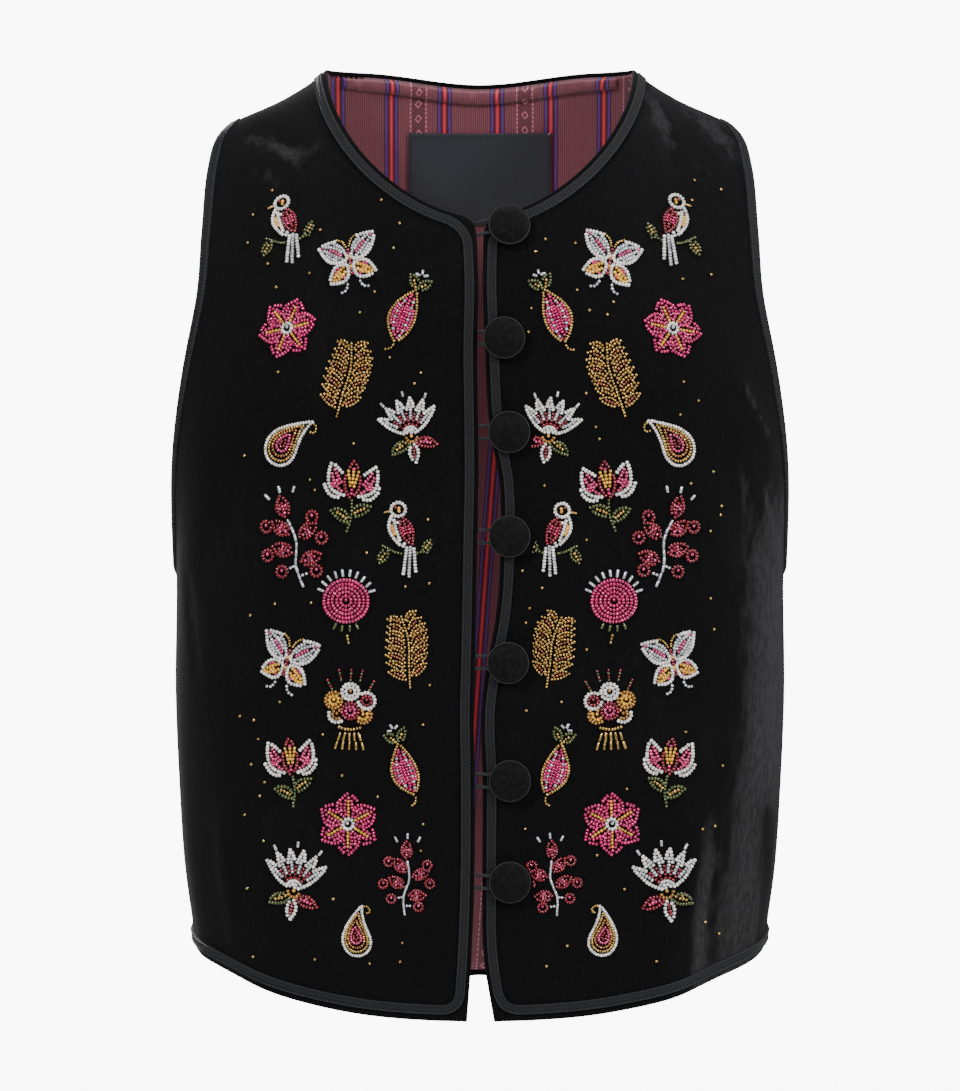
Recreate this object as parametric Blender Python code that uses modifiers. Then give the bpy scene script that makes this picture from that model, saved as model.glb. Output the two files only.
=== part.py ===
"""Cropped velvet waistcoat, hollow as when it is worn, open at the neck, the hem and both armholes.

Frame: metres, +Z up, the front faces -Y and the wearer's left side is +X. The origin lies midway
between the two high neck points, where the garment hangs on the shoulders.

The cloth is one smooth hollow form, measured by two lengths along its surface: arc, from the centre
line round to the side seam, and down, from the shoulder line towards the hem. Each piece is a patch
of that form between its own cut edges, given a wall, and what lies on a piece is the same form moved
out or in.
"""

import math
from collections import namedtuple

import bmesh
import bpy
import numpy as np
from mathutils import Vector

# Walls and gaps
SEAM_GAP = 0.0003
FRONT_WALL = 0.0016
BACK_WALL = 0.0012
LINING_WALL = 0.0010
LABEL_WALL = 0.0010
TRIM_GAP = 0.0005
LINING_GAP = 0.0009
INSIDE_GAP = 0.0008
BRAID_WALL = 0.0012

# The hollow form
FRONT, BACK = -1, 1
REFERENCE_HALF_WIDTH = 0.166
REFERENCE_DEPTH = 0.108
SECTION_ROUNDNESS = 2.8
SHOULDER_ROUNDNESS = 1.6
SHOULDER_REACH = 0.170
SHOULDER_DEPTH = 0.100
PROFILE_STEPS = 900
SLOPE_STEP = 0.0010

# Neck, shoulder and centre front
NECK_HALF_WIDTH = 0.083
SHOULDER_TIP = 0.136
FRONT_NECK_DEPTH = 0.085
FRONT_NECK_ROUNDNESS = 1.72
BACK_NECK_DEPTH = 0.005
BACK_NECK_DIP = 0.062
NECK_CORNER_REACH = 0.010

# Trim
BRAID_WIDTH = 0.0050
EDGE_MARGIN = 0.0022
HEM_MARGIN = 0.0034
HEM_CORNER_REACH = 0.011
ARMHOLE_MARGIN = 0.0020
BRAID_STEP = 0.0085
NECK_BRAID_ROUNDING = 0.25
SHOULDER_STOP = 0.0060

# Buttons and loops
BUTTON_RADIUS = 0.0110
BUTTON_DOME = 0.0050
BUTTON_RIM = 0.0012
SHANK_RADIUS = 0.0020
SHANK_TOP = 0.0044
BUTTON_SIDES = 16
CORD_RADIUS = 0.0010

# Lining and label
LINING_EDGE = 0.0035
LINING_HEM = 0.0035
NECK_FOLD_TOP = 0.0020
NECK_FOLD_HEIGHT = 0.0052
LABEL_WIDTH = 0.080
LABEL_TOP = -0.029
LABEL_FOOT = -0.079

# How many rows and columns of faces each patch has
FRONT_COLUMNS = 16
EDGE_ROWS, CORNER_ROWS, NECK_ROWS = 13, 3, 9
SIDE_ROWS = 8
BACK_NECK_COLUMNS, BACK_SHOULDER_COLUMNS = 8, 5
BACK_SIDE_ROWS, BACK_ARMHOLE_ROWS = 6, 12

Section = namedtuple("Section", "height half_width front_depth back_depth")
SECTIONS = (
    Section(-0.515, 0.1510, 0.1015, 0.0890),
    Section(-0.470, 0.1535, 0.1020, 0.0880),
    Section(-0.430, 0.1588, 0.1040, 0.0870),
    Section(-0.383, 0.1620, 0.1060, 0.0875),
    Section(-0.340, 0.1638, 0.1080, 0.0890),
    Section(-0.265, 0.1636, 0.1110, 0.0920),
    Section(-0.200, 0.1680, 0.1110, 0.0920),
    Section(-0.120, 0.1706, 0.1110, 0.0920),
    Section(-0.050, 0.1710, 0.1110, 0.0910),
    Section(0.050, 0.1710, 0.1110, 0.0900),
)

ShoulderPoint = namedtuple("ShoulderPoint", "across height")
SHOULDER_LINE = (
    ShoulderPoint(0.000, 0.0340),
    ShoulderPoint(0.050, 0.0215),
    ShoulderPoint(0.083, 0.0000),
    ShoulderPoint(0.091, -0.0068),
    ShoulderPoint(0.103, -0.0144),
    ShoulderPoint(0.136, -0.0300),
    ShoulderPoint(0.175, -0.0560),
)

# Where the edge of each front hangs, measured across from the centre
FrontEdge = namedtuple("FrontEdge", "height right_front left_front")
FRONT_EDGES = (
    FrontEdge(-0.5068, -0.0068, 0.0074),
    FrontEdge(-0.4733, -0.0045, 0.0020),
    FrontEdge(-0.4330, -0.0030, 0.0012),
    FrontEdge(-0.3799, -0.0028, 0.0014),
    FrontEdge(-0.3400, -0.0032, 0.0008),
    FrontEdge(-0.3181, -0.0026, 0.0040),
    FrontEdge(-0.2930, -0.0021, 0.0085),
    FrontEdge(-0.2523, -0.0014, 0.0108),
    FrontEdge(-0.2240, -0.0008, 0.0102),
    FrontEdge(-0.1978, -0.0009, 0.0054),
    FrontEdge(-0.1485, -0.0014, 0.0024),
    FrontEdge(-0.1250, -0.0008, 0.0014),
    FrontEdge(-0.0894, -0.0020, 0.0020),
    FrontEdge(-0.0800, -0.0022, 0.0022),
)

# The hem, from the centre (share 0) round to the side seam (share 1)
HemPoint = namedtuple("HemPoint", "share front back")
HEM = (
    HemPoint(0.00, -0.5068, -0.4950),
    HemPoint(0.14, -0.5060, -0.4947),
    HemPoint(0.28, -0.5036, -0.4932),
    HemPoint(0.48, -0.4956, -0.4880),
    HemPoint(0.65, -0.4850, -0.4805),
    HemPoint(0.82, -0.4750, -0.4728),
    HemPoint(1.00, -0.4684, -0.4684),
)

# The armhole's cut edge, from the underarm up to the shoulder tip
ArmholePoint = namedtuple("ArmholePoint", "share height")
FRONT_ARMHOLE = (
    ArmholePoint(1.000, -0.2660),
    ArmholePoint(0.955, -0.2625),
    ArmholePoint(0.905, -0.2480),
    ArmholePoint(0.855, -0.2260),
    ArmholePoint(0.801, -0.2000),
    ArmholePoint(0.735, -0.1620),
    ArmholePoint(0.680, -0.1240),
    ArmholePoint(0.664, -0.0900),
    ArmholePoint(0.648, -0.0540),
    ArmholePoint(0.625, -0.0375),
)
BACK_ARMHOLE = (
    ArmholePoint(1.000, -0.2660),
    ArmholePoint(0.935, -0.2610),
    ArmholePoint(0.860, -0.2460),
    ArmholePoint(0.790, -0.2230),
    ArmholePoint(0.735, -0.1900),
    ArmholePoint(0.705, -0.1500),
    ArmholePoint(0.690, -0.1100),
    ArmholePoint(0.675, -0.0750),
    ArmholePoint(0.655, -0.0500),
    ArmholePoint(0.628, -0.0385),
)

# The largest folds, as soft troughs (depth below 0) and ridges along a line down the cloth
Fold = namedtuple("Fold", "part top_arc top foot_arc foot half_width depth")
FOLDS = (
    Fold(FRONT, 0.176, -0.290, 0.134, -0.540, 0.038, -0.0038),
    Fold(FRONT, 0.132, -0.330, 0.100, -0.540, 0.030, 0.0020),
    Fold(FRONT, -0.172, -0.300, -0.150, -0.540, 0.032, -0.0030),
    Fold(FRONT, 0.118, -0.180, 0.160, -0.270, 0.026, -0.0022),
    Fold(FRONT, -0.118, -0.190, -0.158, -0.275, 0.026, -0.0018),
    Fold(BACK, 0.062, -0.230, 0.076, -0.540, 0.036, -0.0032),
    Fold(BACK, -0.070, -0.260, -0.058, -0.540, 0.034, -0.0028),
    Fold(BACK, 0.150, -0.290, 0.132, -0.540, 0.034, 0.0026),
    Fold(BACK, -0.152, -0.280, -0.138, -0.540, 0.034, 0.0024),
)

ButtonPlace = namedtuple("ButtonPlace", "across height on_braid")
BUTTONS = (
    ButtonPlace(0.0150, -0.0909, True),
    ButtonPlace(0.0126, -0.1485, False),
    ButtonPlace(0.0152, -0.1978, False),
    ButtonPlace(0.0153, -0.2523, True),
    ButtonPlace(0.0146, -0.3181, False),
    ButtonPlace(0.0156, -0.3799, False),
    ButtonPlace(0.0156, -0.4330, False),
)

# Colours are linear; each finish has its own roughness
Finish = namedtuple("Finish", "name colour roughness")
VELVET = Finish("black_velvet", (0.010, 0.010, 0.012), 0.85)
BRAID = Finish("charcoal_braid", (0.022, 0.022, 0.026), 0.70)
COVERED_BUTTON = Finish("covered_button", (0.016, 0.016, 0.019), 0.75)
CORD = Finish("loop_cord", (0.020, 0.020, 0.023), 0.65)
LINING = Finish("burgundy_lining", (0.160, 0.038, 0.052), 0.60)
LABEL = Finish("bare_label", (0.020, 0.023, 0.032), 0.80)


def smooth_curve(places, values):
    """A cubic through the points, whose slope at each comes from its neighbours."""
    places = np.array(places)
    values = np.array(values)
    slopes = np.gradient(values, places)

    def value_at(place):
        place = np.clip(place, places[0], places[-1])
        low = np.clip(np.searchsorted(places, place) - 1, 0, len(places) - 2)
        width = places[low + 1] - places[low]
        t = (place - places[low]) / width
        start = values[low] * (1 + 2 * t) * (1 - t) ** 2 + slopes[low] * width * t * (1 - t) ** 2
        end = values[low + 1] * (3 - 2 * t) * t**2 - slopes[low + 1] * width * t**2 * (1 - t)
        return start + end

    return value_at


def table_curve(rows, place, value):
    """A smooth curve of one column of a table over another."""
    return smooth_curve([getattr(row, place) for row in rows], [getattr(row, value) for row in rows])


def superellipse(roundness, rise_size, fall_size):
    """The quarter of a superellipse by its own length: (length, rising side, falling side)."""
    angle = np.linspace(0, math.pi / 2, PROFILE_STEPS)
    rise = np.sin(angle) ** (2 / roundness)
    fall = np.cos(angle) ** (2 / roundness)
    steps = np.hypot(np.diff(rise * rise_size), np.diff(fall * fall_size))
    return np.concatenate([[0.0], np.cumsum(steps)]), rise, fall


half_width_at = table_curve(SECTIONS, "height", "half_width")
depth_at = {
    FRONT: table_curve(SECTIONS, "height", "front_depth"),
    BACK: table_curve(SECTIONS, "height", "back_depth"),
}
shoulder_at = table_curve(SHOULDER_LINE, "across", "height")
hem_at = {FRONT: table_curve(HEM, "share", "front"), BACK: table_curve(HEM, "share", "back")}
front_edge_at = {
    -1: table_curve(FRONT_EDGES, "height", "right_front"),
    1: table_curve(FRONT_EDGES, "height", "left_front"),
}
SECTION_LENGTH, SECTION_RISE, SECTION_FALL = superellipse(
    SECTION_ROUNDNESS, REFERENCE_HALF_WIDTH, REFERENCE_DEPTH
)
DROP_LENGTH, DROP_RISE, DROP_FALL = superellipse(SHOULDER_ROUNDNESS, SHOULDER_DEPTH, SHOULDER_REACH)
QUARTER = SECTION_LENGTH[-1]
SHOULDER_ROLL = DROP_LENGTH[-1]


def drop_at(down):
    """How far below the shoulder line a point lies."""
    if down > SHOULDER_ROLL:
        return SHOULDER_REACH + down - SHOULDER_ROLL
    return SHOULDER_REACH * (1 - np.interp(down, DROP_LENGTH, DROP_FALL))


def form_point(part, arc, down):
    """A point of the hollow form before its folds."""
    reach = min(abs(arc), QUARTER)
    across = np.interp(reach, SECTION_LENGTH, SECTION_RISE)
    along = np.interp(reach, SECTION_LENGTH, SECTION_FALL)
    drop = drop_at(max(down, 0.0))
    height = -drop
    for _ in range(4):
        half_width = half_width_at(height)
        height = shoulder_at(half_width * across) - drop
    bulge = np.interp(down, DROP_LENGTH, DROP_RISE)
    depth = depth_at[part](height) * along * bulge
    return np.array((math.copysign(half_width * across, arc), part * (SEAM_GAP / 2 + depth), height))


def place_on_form(across, height):
    """(arc, down) of the point of the form that is seen at this place from straight in front."""
    share = min(abs(across) / half_width_at(height), 1.0)
    arc = math.copysign(np.interp(share, SECTION_RISE, SECTION_LENGTH), across)
    drop = shoulder_at(abs(across)) - height
    if drop > SHOULDER_REACH:
        return np.array((arc, SHOULDER_ROLL + drop - SHOULDER_REACH))
    down = np.interp(max(drop, 0.0) / SHOULDER_REACH, 1 - DROP_FALL, DROP_LENGTH)
    return np.array((arc, down))


def place_by_share(share, height):
    """(arc, down) at a share of the way round from the centre to the side seam."""
    reach = abs(share) * QUARTER
    across = half_width_at(height) * np.interp(reach, SECTION_LENGTH, SECTION_RISE)
    place = place_on_form(across, height)
    return np.array((math.copysign(reach, share), place[1]))


def fold_offset(part, arc, height):
    """How far the folds push the cloth out at this place."""
    offset = 0.0
    for fold in FOLDS:
        if fold.part != part:
            continue
        t = (height - fold.top) / (fold.foot - fold.top)
        if not 0 < t < 1:
            continue
        away = abs(arc - fold.top_arc - t * (fold.foot_arc - fold.top_arc)) / fold.half_width
        if away < 1:
            offset += fold.depth * math.cos(away * math.pi / 2) ** 2 * math.sin(t * math.pi / 2)
    return offset


def frame_on_form(part, arc, down):
    """The form's two directions along the cloth, per metre of arc and of down, and its outward normal."""
    arc = np.clip(arc, SLOPE_STEP - QUARTER, QUARTER - SLOPE_STEP)
    by_arc = form_point(part, arc + SLOPE_STEP, down) - form_point(part, arc - SLOPE_STEP, down)
    down = max(down, 0.0)
    low = max(down - SLOPE_STEP, 0.0)
    by_down = form_point(part, arc, down + SLOPE_STEP) - form_point(part, arc, low)
    normal = part * np.cross(by_arc, by_down)
    return by_arc / (2 * SLOPE_STEP), by_down / (down + SLOPE_STEP - low), normal / np.linalg.norm(normal)


def cloth_point(part, arc, down, out=0.0):
    """A point of the folded cloth, moved out from its outer face."""
    base = form_point(part, arc, down)
    normal = frame_on_form(part, arc, down)[2]
    return base + normal * (out + fold_offset(part, arc, base[2]))


def walk(part, place, direction, distance):
    """(arc, down) after going that far across the cloth in a direction."""
    place = np.array(place)
    for _ in range(4):
        by_arc, by_down, _ = frame_on_form(part, *place)
        step = direction * distance / 4
        place = place + np.linalg.lstsq(np.stack([by_arc, by_down], axis=1), step, rcond=None)[0]
    return place


def resample(line, count, ease=1.0):
    """The line as count equal steps, or closer together towards its end where ease is over 1."""
    line = np.array(line)
    steps = np.linalg.norm(np.diff(line, axis=0), axis=1)
    length = np.concatenate([[0.0], np.cumsum(steps)])
    share = 1 - (1 - np.linspace(0, 1, count + 1)) ** ease
    return np.stack([np.interp(share * length[-1], length, line[:, i]) for i in range(2)], axis=1)


def smooth_route(points, steps=160):
    """A smooth dense line through a few places."""
    points = np.array(points)
    chord = np.linalg.norm(np.diff(points, axis=0), axis=1)
    length = np.concatenate([[0.0], np.cumsum(chord)])
    at = np.linspace(0, length[-1], steps)
    return np.stack([smooth_curve(length, points[:, i])(at) for i in range(2)], axis=1)


def trimmed(line, reach):
    """The line without its last stretch of that length."""
    line = np.array(line)
    steps = np.linalg.norm(np.diff(line, axis=0), axis=1)
    length = np.concatenate([[0.0], np.cumsum(steps)])
    stop = length[-1] - reach
    kept = line[length < stop]
    end = [np.interp(stop, length, line[:, i]) for i in range(2)]
    return np.vstack([kept, end])


def rounded_corner(first, second, reach):
    """Two lines that meet at a corner, as the first cut short, a round turn, and the second cut short."""
    corner = np.array(first[-1])
    before = trimmed(first, reach)
    after = trimmed(second[::-1], reach)[::-1]
    t = np.linspace(0, 1, 24)[:, None]
    turn = before[-1] * (1 - t) ** 2 + corner * 2 * t * (1 - t) + after[0] * t**2
    return before, turn, after


def joined(*lines):
    """Lines end to end, with each shared point once."""
    return np.vstack([lines[0]] + [line[1:] for line in lines[1:]])


def front_neck_line(side, inset=0.0):
    """The cut neck edge from the centre front up to the shoulder, moved in by inset."""
    start = abs(front_edge_at[side](-FRONT_NECK_DEPTH))
    angles = np.linspace(math.pi / 2, 0, 120)
    across = NECK_HALF_WIDTH * np.cos(angles) ** (2 / FRONT_NECK_ROUNDNESS)
    height = -FRONT_NECK_DEPTH * np.sin(angles) ** (2 / FRONT_NECK_ROUNDNESS)
    line = [place_on_form(side * x, z) for x, z in zip(across, height) if x > start]
    if inset == 0.0:
        return np.array(line)
    line = ended_on_shoulder(moved_in(FRONT, line, inset, -side), side * (NECK_HALF_WIDTH + inset))
    line[-1][1] += SEAM_GAP
    return line


def front_edge_line(side, inset=0.0):
    """The centre-front edge from the hem up to the neck, moved in by inset."""
    heights = np.linspace(hem_at[FRONT](0.0), -FRONT_NECK_DEPTH, 120)
    line = [place_on_form(front_edge_at[side](z), z) for z in heights]
    return moved_in(FRONT, line, inset, -side)


def hem_line(part, start, end, inset=0.0):
    """The hem between two shares of the way round, moved up by inset."""
    shares = np.linspace(start, end, 90)
    line = [place_by_share(share, hem_at[part](abs(share)) + inset) for share in shares]
    return np.array(line)


def armhole_line(part, side, inset=0.0):
    """The armhole's cut edge from the underarm up to the shoulder tip, moved in by inset."""
    table = FRONT_ARMHOLE if part == FRONT else BACK_ARMHOLE
    points = [place_by_share(side * row.share, row.height) for row in table]
    tip = place_on_form(side * SHOULDER_TIP, shoulder_at(SHOULDER_TIP))
    line = moved_in(part, smooth_route(points + [tip]), inset, -side * part)
    return ended_on_shoulder(line, side * (SHOULDER_TIP - inset))


def ended_on_shoulder(line, across):
    """The line, stopped short of the shoulder line and then brought to it at this distance across."""
    end = place_on_form(across, shoulder_at(abs(across)))
    return np.vstack([line[line[:, 1] > SHOULDER_STOP], end])


def moved_in(part, line, distance, turn):
    """Each point of a line moved across the cloth, square to the line."""
    line = np.array(line)
    if distance == 0.0:
        return line
    solid = np.array([form_point(part, *place) for place in line])
    ahead = np.gradient(solid, axis=0)
    moved = []
    for place, tangent in zip(line, ahead):
        normal = frame_on_form(part, *place)[2]
        across = np.cross(normal, tangent) * turn
        moved.append(walk(part, place, across / np.linalg.norm(across), distance))
    return np.array(moved)


def coons_patch(bottom, top, left, right):
    """A grid of places between four lines that meet at their ends: [row, column, (arc, down)]."""
    v = np.linspace(0, 1, len(left))[:, None, None]
    u = np.linspace(0, 1, len(bottom))[None, :, None]
    across = (1 - u) * left[:, None] + u * right[:, None]
    upward = (1 - v) * bottom[None] + v * top[None]
    low = (1 - u) * bottom[0] + u * bottom[-1]
    high = (1 - u) * top[0] + u * top[-1]
    return across + upward - (1 - v) * low - v * high


def material_of(finish):
    material = bpy.data.materials.get(finish.name) or bpy.data.materials.new(finish.name)
    material.use_nodes = True
    shader = material.node_tree.nodes["Principled BSDF"]
    shader.inputs["Base Color"].default_value = (*finish.colour, 1.0)
    shader.inputs["Roughness"].default_value = finish.roughness
    shader.inputs["Metallic"].default_value = 0.0
    return material


def add_object(name, data, finish, collection):
    """A named object with its own material, in the waistcoat's collection."""
    obj = bpy.data.objects.new(name, data)
    data.materials.append(material_of(finish))
    collection.objects.link(obj)
    return obj


def wall_mesh(name, outer, inner):
    """A closed wall between two grids of points: two sheets, joined round their edges."""
    rows, columns = outer.shape[:2]
    shell = bmesh.new()
    for points in (outer, inner):
        sheet = bmesh.ops.create_grid(shell, x_segments=columns - 1, y_segments=rows - 1, size=1.0)
        for vertex, point in zip(sheet["verts"], points.reshape(-1, 3)):
            vertex.co = point
    # Both sheets get the same diagonals, so that walls that lie on each other stay parallel
    bmesh.ops.triangulate(shell, faces=shell.faces, quad_method="FIXED")
    rims = [edge for edge in shell.edges if edge.is_boundary]
    bmesh.ops.bridge_loops(shell, edges=rims)
    bmesh.ops.recalc_face_normals(shell, faces=shell.faces)
    mesh = bpy.data.meshes.new(name)
    shell.to_mesh(mesh)
    shell.free()
    mesh.shade_smooth()
    mesh.set_sharp_from_angle(angle=math.radians(50))
    return mesh


def sheet_points(part, grid, out):
    """The points of a grid of places, that far out from the cloth's outer face."""
    return np.array([[cloth_point(part, *place, out) for place in row] for row in grid])


def add_wall(name, part, grid, outer, inner, finish, collection):
    """A piece of cloth on the form, between two heights above its outer face."""
    mesh = wall_mesh(name, sheet_points(part, grid, outer), sheet_points(part, grid, inner))
    return add_object(name, mesh, finish, collection)


def add_braid(name, stretches, collection):
    """A flat braid along a line of (part, places) stretches that follow each other."""
    places = [(part, place) for part, line in stretches for place in line]
    centre = np.array([cloth_point(part, *place) for part, place in places])
    ahead = np.gradient(centre, axis=0)
    outer, inner = [], []
    for (part, place), point, tangent in zip(places, centre, ahead):
        normal = frame_on_form(part, *place)[2]
        across = np.cross(normal, tangent)
        across *= BRAID_WIDTH / 2 / np.linalg.norm(across)
        low = point + normal * TRIM_GAP
        high = low + normal * BRAID_WALL
        inner.append((low - across, low + across))
        outer.append((high - across, high + across))
    mesh = wall_mesh(name, np.array(outer), np.array(inner))
    return add_object(name, mesh, BRAID, collection)


def braid_line(line):
    """A line of places at the braid's own even step."""
    length = np.linalg.norm(np.diff(line, axis=0), axis=1).sum()
    return resample(line, max(round(length / BRAID_STEP), 2))


def front_grid(side):
    """The cut shape of one front, from its centre edge and neck out to its side seam and armhole."""
    before, turn, after = rounded_corner(front_edge_line(side), front_neck_line(side), NECK_CORNER_REACH)
    left = joined(resample(before, EDGE_ROWS), resample(turn, CORNER_ROWS), resample(after, NECK_ROWS, 1.3))
    rows = EDGE_ROWS + CORNER_ROWS + NECK_ROWS
    side_seam = [place_by_share(side, z) for z in (hem_at[FRONT](1.0), FRONT_ARMHOLE[0].height)]
    armhole = resample(armhole_line(FRONT, side), rows - SIDE_ROWS, 1.15)
    right = joined(resample(side_seam, SIDE_ROWS), armhole)
    start = left[0][0] / QUARTER
    bottom = resample(hem_line(FRONT, start, side), FRONT_COLUMNS)
    tips = np.linspace(NECK_HALF_WIDTH, SHOULDER_TIP, FRONT_COLUMNS + 1)
    top = np.array([place_on_form(side * x, shoulder_at(x)) for x in tips])
    for line, first, last in ((bottom, left[0], right[0]), (top, left[-1], right[-1])):
        line[0], line[-1] = first, last
    return coons_patch(bottom, top, left, right)


def back_grid():
    """The cut shape of the back in one piece, from side seam to side seam."""
    edges = {}
    for side in (-1, 1):
        seam = [place_by_share(side, z) for z in (hem_at[BACK](1.0), BACK_ARMHOLE[0].height)]
        armhole = resample(armhole_line(BACK, side), BACK_ARMHOLE_ROWS, 1.4)
        edges[side] = joined(resample(seam, BACK_SIDE_ROWS), armhole)
    neck = np.linspace(0, NECK_HALF_WIDTH, BACK_NECK_COLUMNS + 1)
    shoulder = np.linspace(NECK_HALF_WIDTH, SHOULDER_TIP, BACK_SHOULDER_COLUMNS + 1)
    half = [place_on_form(x, back_neck_height(x)) for x in neck]
    half += [place_on_form(x, shoulder_at(x)) for x in shoulder[1:]]
    mirrored = [place * (-1, 1) for place in half[:0:-1]]
    top = np.array(mirrored + half)
    bottom = resample(hem_line(BACK, -1, 1), len(top) - 1)
    for line, row in ((bottom, 0), (top, -1)):
        line[0], line[-1] = edges[-1][row], edges[1][row]
    return coons_patch(bottom, top, edges[-1], edges[1])


def back_neck_height(across):
    """The height of the back-neck edge, seen from behind."""
    reach = np.minimum(np.abs(across) / BACK_NECK_DIP, 1.0)
    return -BACK_NECK_DEPTH * (1 + np.cos(reach * math.pi)) / 2


def drawn_in(points, side_inset, foot_inset, head_inset):
    """A sheet of points with its border rows and columns moved in along its own faces."""
    points = points.copy()
    borders = ((0, 1, foot_inset), (-1, -2, head_inset))
    for border, neighbour, inset in borders:
        step = points[neighbour] - points[border]
        points[border] += step * inset / np.linalg.norm(step, axis=1)[:, None]
    for border, neighbour in ((0, 1), (-1, -2)):
        step = points[:, neighbour] - points[:, border]
        points[:, border] += step * side_inset / np.linalg.norm(step, axis=1)[:, None]
    return points


def add_front_braid(name, side, collection):
    """The braid of one front: from the shoulder down the neck and the centre edge, then along the hem."""
    reach = EDGE_MARGIN + BRAID_WIDTH / 2
    rise = HEM_MARGIN + BRAID_WIDTH / 2
    edge = front_edge_line(side, reach)
    neck = front_neck_line(side, reach)
    edge = edge[edge[:, 1] > neck[0][1]]
    neck = neck[np.abs(neck[:, 0]) > abs(edge[-1][0])]
    hem_down = place_by_share(0.0, hem_at[FRONT](0.0) + rise)[1]
    edge = edge[edge[:, 1] < hem_down]
    start = edge[0][0] / QUARTER
    end = side * (1 - SEAM_GAP / QUARTER)
    hem = hem_line(FRONT, start, end, rise)
    hem_part, hem_turn, edge_part = rounded_corner(hem[::-1], edge, HEM_CORNER_REACH)
    edge_part, neck_turn, neck_part = rounded_corner(edge_part, neck, NECK_CORNER_REACH)
    line = joined(hem_part, hem_turn, edge_part, neck_turn, neck_part)
    return add_braid(name, [(FRONT, braid_line(line))], collection)


def add_armhole_braid(name, side, collection):
    """The braid round one armhole: its two ends meet at the underarm."""
    reach = ARMHOLE_MARGIN + BRAID_WIDTH / 2
    front = braid_line(armhole_line(FRONT, side, reach))
    back = braid_line(armhole_line(BACK, side, reach))
    return add_braid(name, [(FRONT, front[:-1]), (BACK, back[::-1])], collection)


def add_button(name, place, collection):
    """A cloth-covered dome on a shank, a turned shape square to the cloth."""
    base = TRIM_GAP + BRAID_WALL + SEAM_GAP if place.on_braid else SEAM_GAP
    arc, down = place_on_form(place.across, place.height)
    normal = frame_on_form(FRONT, arc, down)[2]
    rim = SHANK_TOP - base + BUTTON_RIM
    quarter = [math.radians(angle) for angle in (0, 28, 54, 78)]
    profile = [(BUTTON_RADIUS * math.sin(a), rim + BUTTON_DOME * math.cos(a)) for a in quarter]
    profile += [(BUTTON_RADIUS, rim), (BUTTON_RADIUS - BUTTON_RIM, SHANK_TOP - base)]
    profile += [(SHANK_RADIUS, SHANK_TOP - base), (SHANK_RADIUS, 0.0), (0.0, 0.0)]
    mesh = bpy.data.meshes.new(name)
    edges = [(i, i + 1) for i in range(len(profile) - 1)]
    mesh.from_pydata([(x, 0.0, z) for x, z in profile], edges, [])
    button = add_object(name, mesh, COVERED_BUTTON, collection)
    button.location = cloth_point(FRONT, arc, down, base)
    button.rotation_mode = "QUATERNION"
    button.rotation_quaternion = Vector(normal).to_track_quat("Z", "Y")
    screw = button.modifiers.new("turn", "SCREW")
    screw.steps = screw.render_steps = BUTTON_SIDES
    screw.use_merge_vertices = True
    screw.merge_threshold = 0.00001
    screw.use_smooth_shade = True
    return button


def add_loop(name, place, collection):
    """A doubled cord from the right front's edge, round the button's shank and back."""
    turn_radius = SHANK_RADIUS + SEAM_GAP + CORD_RADIUS
    under_button = TRIM_GAP + BRAID_WALL + SEAM_GAP + CORD_RADIUS
    start = front_edge_at[-1](place.height) + TRIM_GAP
    far_edge = front_edge_at[1](place.height)
    # Along the cord: how far across the body, and how far out from the cloth
    strand = [
        (start, -FRONT_WALL / 2),
        (start + 0.0010, -FRONT_WALL / 2 + 0.0004),
        (far_edge - 0.0010, CORD_RADIUS + 0.0005),
        (far_edge + 0.0008, under_button),
        ((far_edge + place.across) / 2 + 0.0010, under_button),
    ]
    centre = place.across
    angles = np.linspace(-math.pi / 2, math.pi / 2, 6)
    turn = [(centre + turn_radius * math.cos(a), turn_radius * math.sin(a), under_button) for a in angles]
    lower = [(x, -turn_radius, out) for x, out in strand]
    upper = [(x, turn_radius, out) for x, out in reversed(strand)]
    route = []
    for across, rise, out in lower + turn + upper:
        arc, down = place_on_form(across, place.height + rise)
        route.append(cloth_point(FRONT, arc, down, out))
    curve = bpy.data.curves.new(name, "CURVE")
    curve.dimensions = "3D"
    curve.bevel_depth = CORD_RADIUS
    curve.bevel_resolution = 2
    curve.use_fill_caps = True
    spline = curve.splines.new("POLY")
    spline.points.add(len(route) - 1)
    for point, position in zip(spline.points, route):
        point.co = (*position, 1.0)
    return add_object(name, curve, CORD, collection)


def add_back_pieces(collection):
    """The back, with its lining, the lining's folded neck edge and the bare label inside it."""
    grid = back_grid()
    add_wall("back", BACK, grid, 0.0, -BACK_WALL, VELVET, collection)
    lining_out = -BACK_WALL - LINING_GAP
    lining_in = lining_out - LINING_WALL
    sheets = [
        drawn_in(sheet_points(BACK, grid, out), LINING_EDGE, LINING_HEM, LINING_EDGE)
        for out in (lining_out, lining_in)
    ]
    add_object("back_lining", wall_mesh("back_lining", *sheets), LINING, collection)
    inside = lining_in - INSIDE_GAP
    reach = NECK_HALF_WIDTH - 2 * LINING_EDGE
    band = []
    for fall in (NECK_FOLD_TOP + NECK_FOLD_HEIGHT, NECK_FOLD_TOP):
        row = []
        for across in np.linspace(-reach, reach, 2 * BACK_NECK_COLUMNS + 1):
            arc, down = place_on_form(across, back_neck_height(across))
            row.append((arc, down + fall))
        band.append(row)
    add_wall("lining_neck_fold", BACK, np.array(band), inside, inside - LINING_WALL, LINING, collection)
    across_label = np.linspace(-LABEL_WIDTH / 2, LABEL_WIDTH / 2, 9)
    heights = np.linspace(LABEL_FOOT, LABEL_TOP, 6)
    label = np.array([[place_on_form(x, z) for x in across_label] for z in heights])
    add_wall("neck_label", BACK, label, inside, inside - LABEL_WALL, LABEL, collection)


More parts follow.
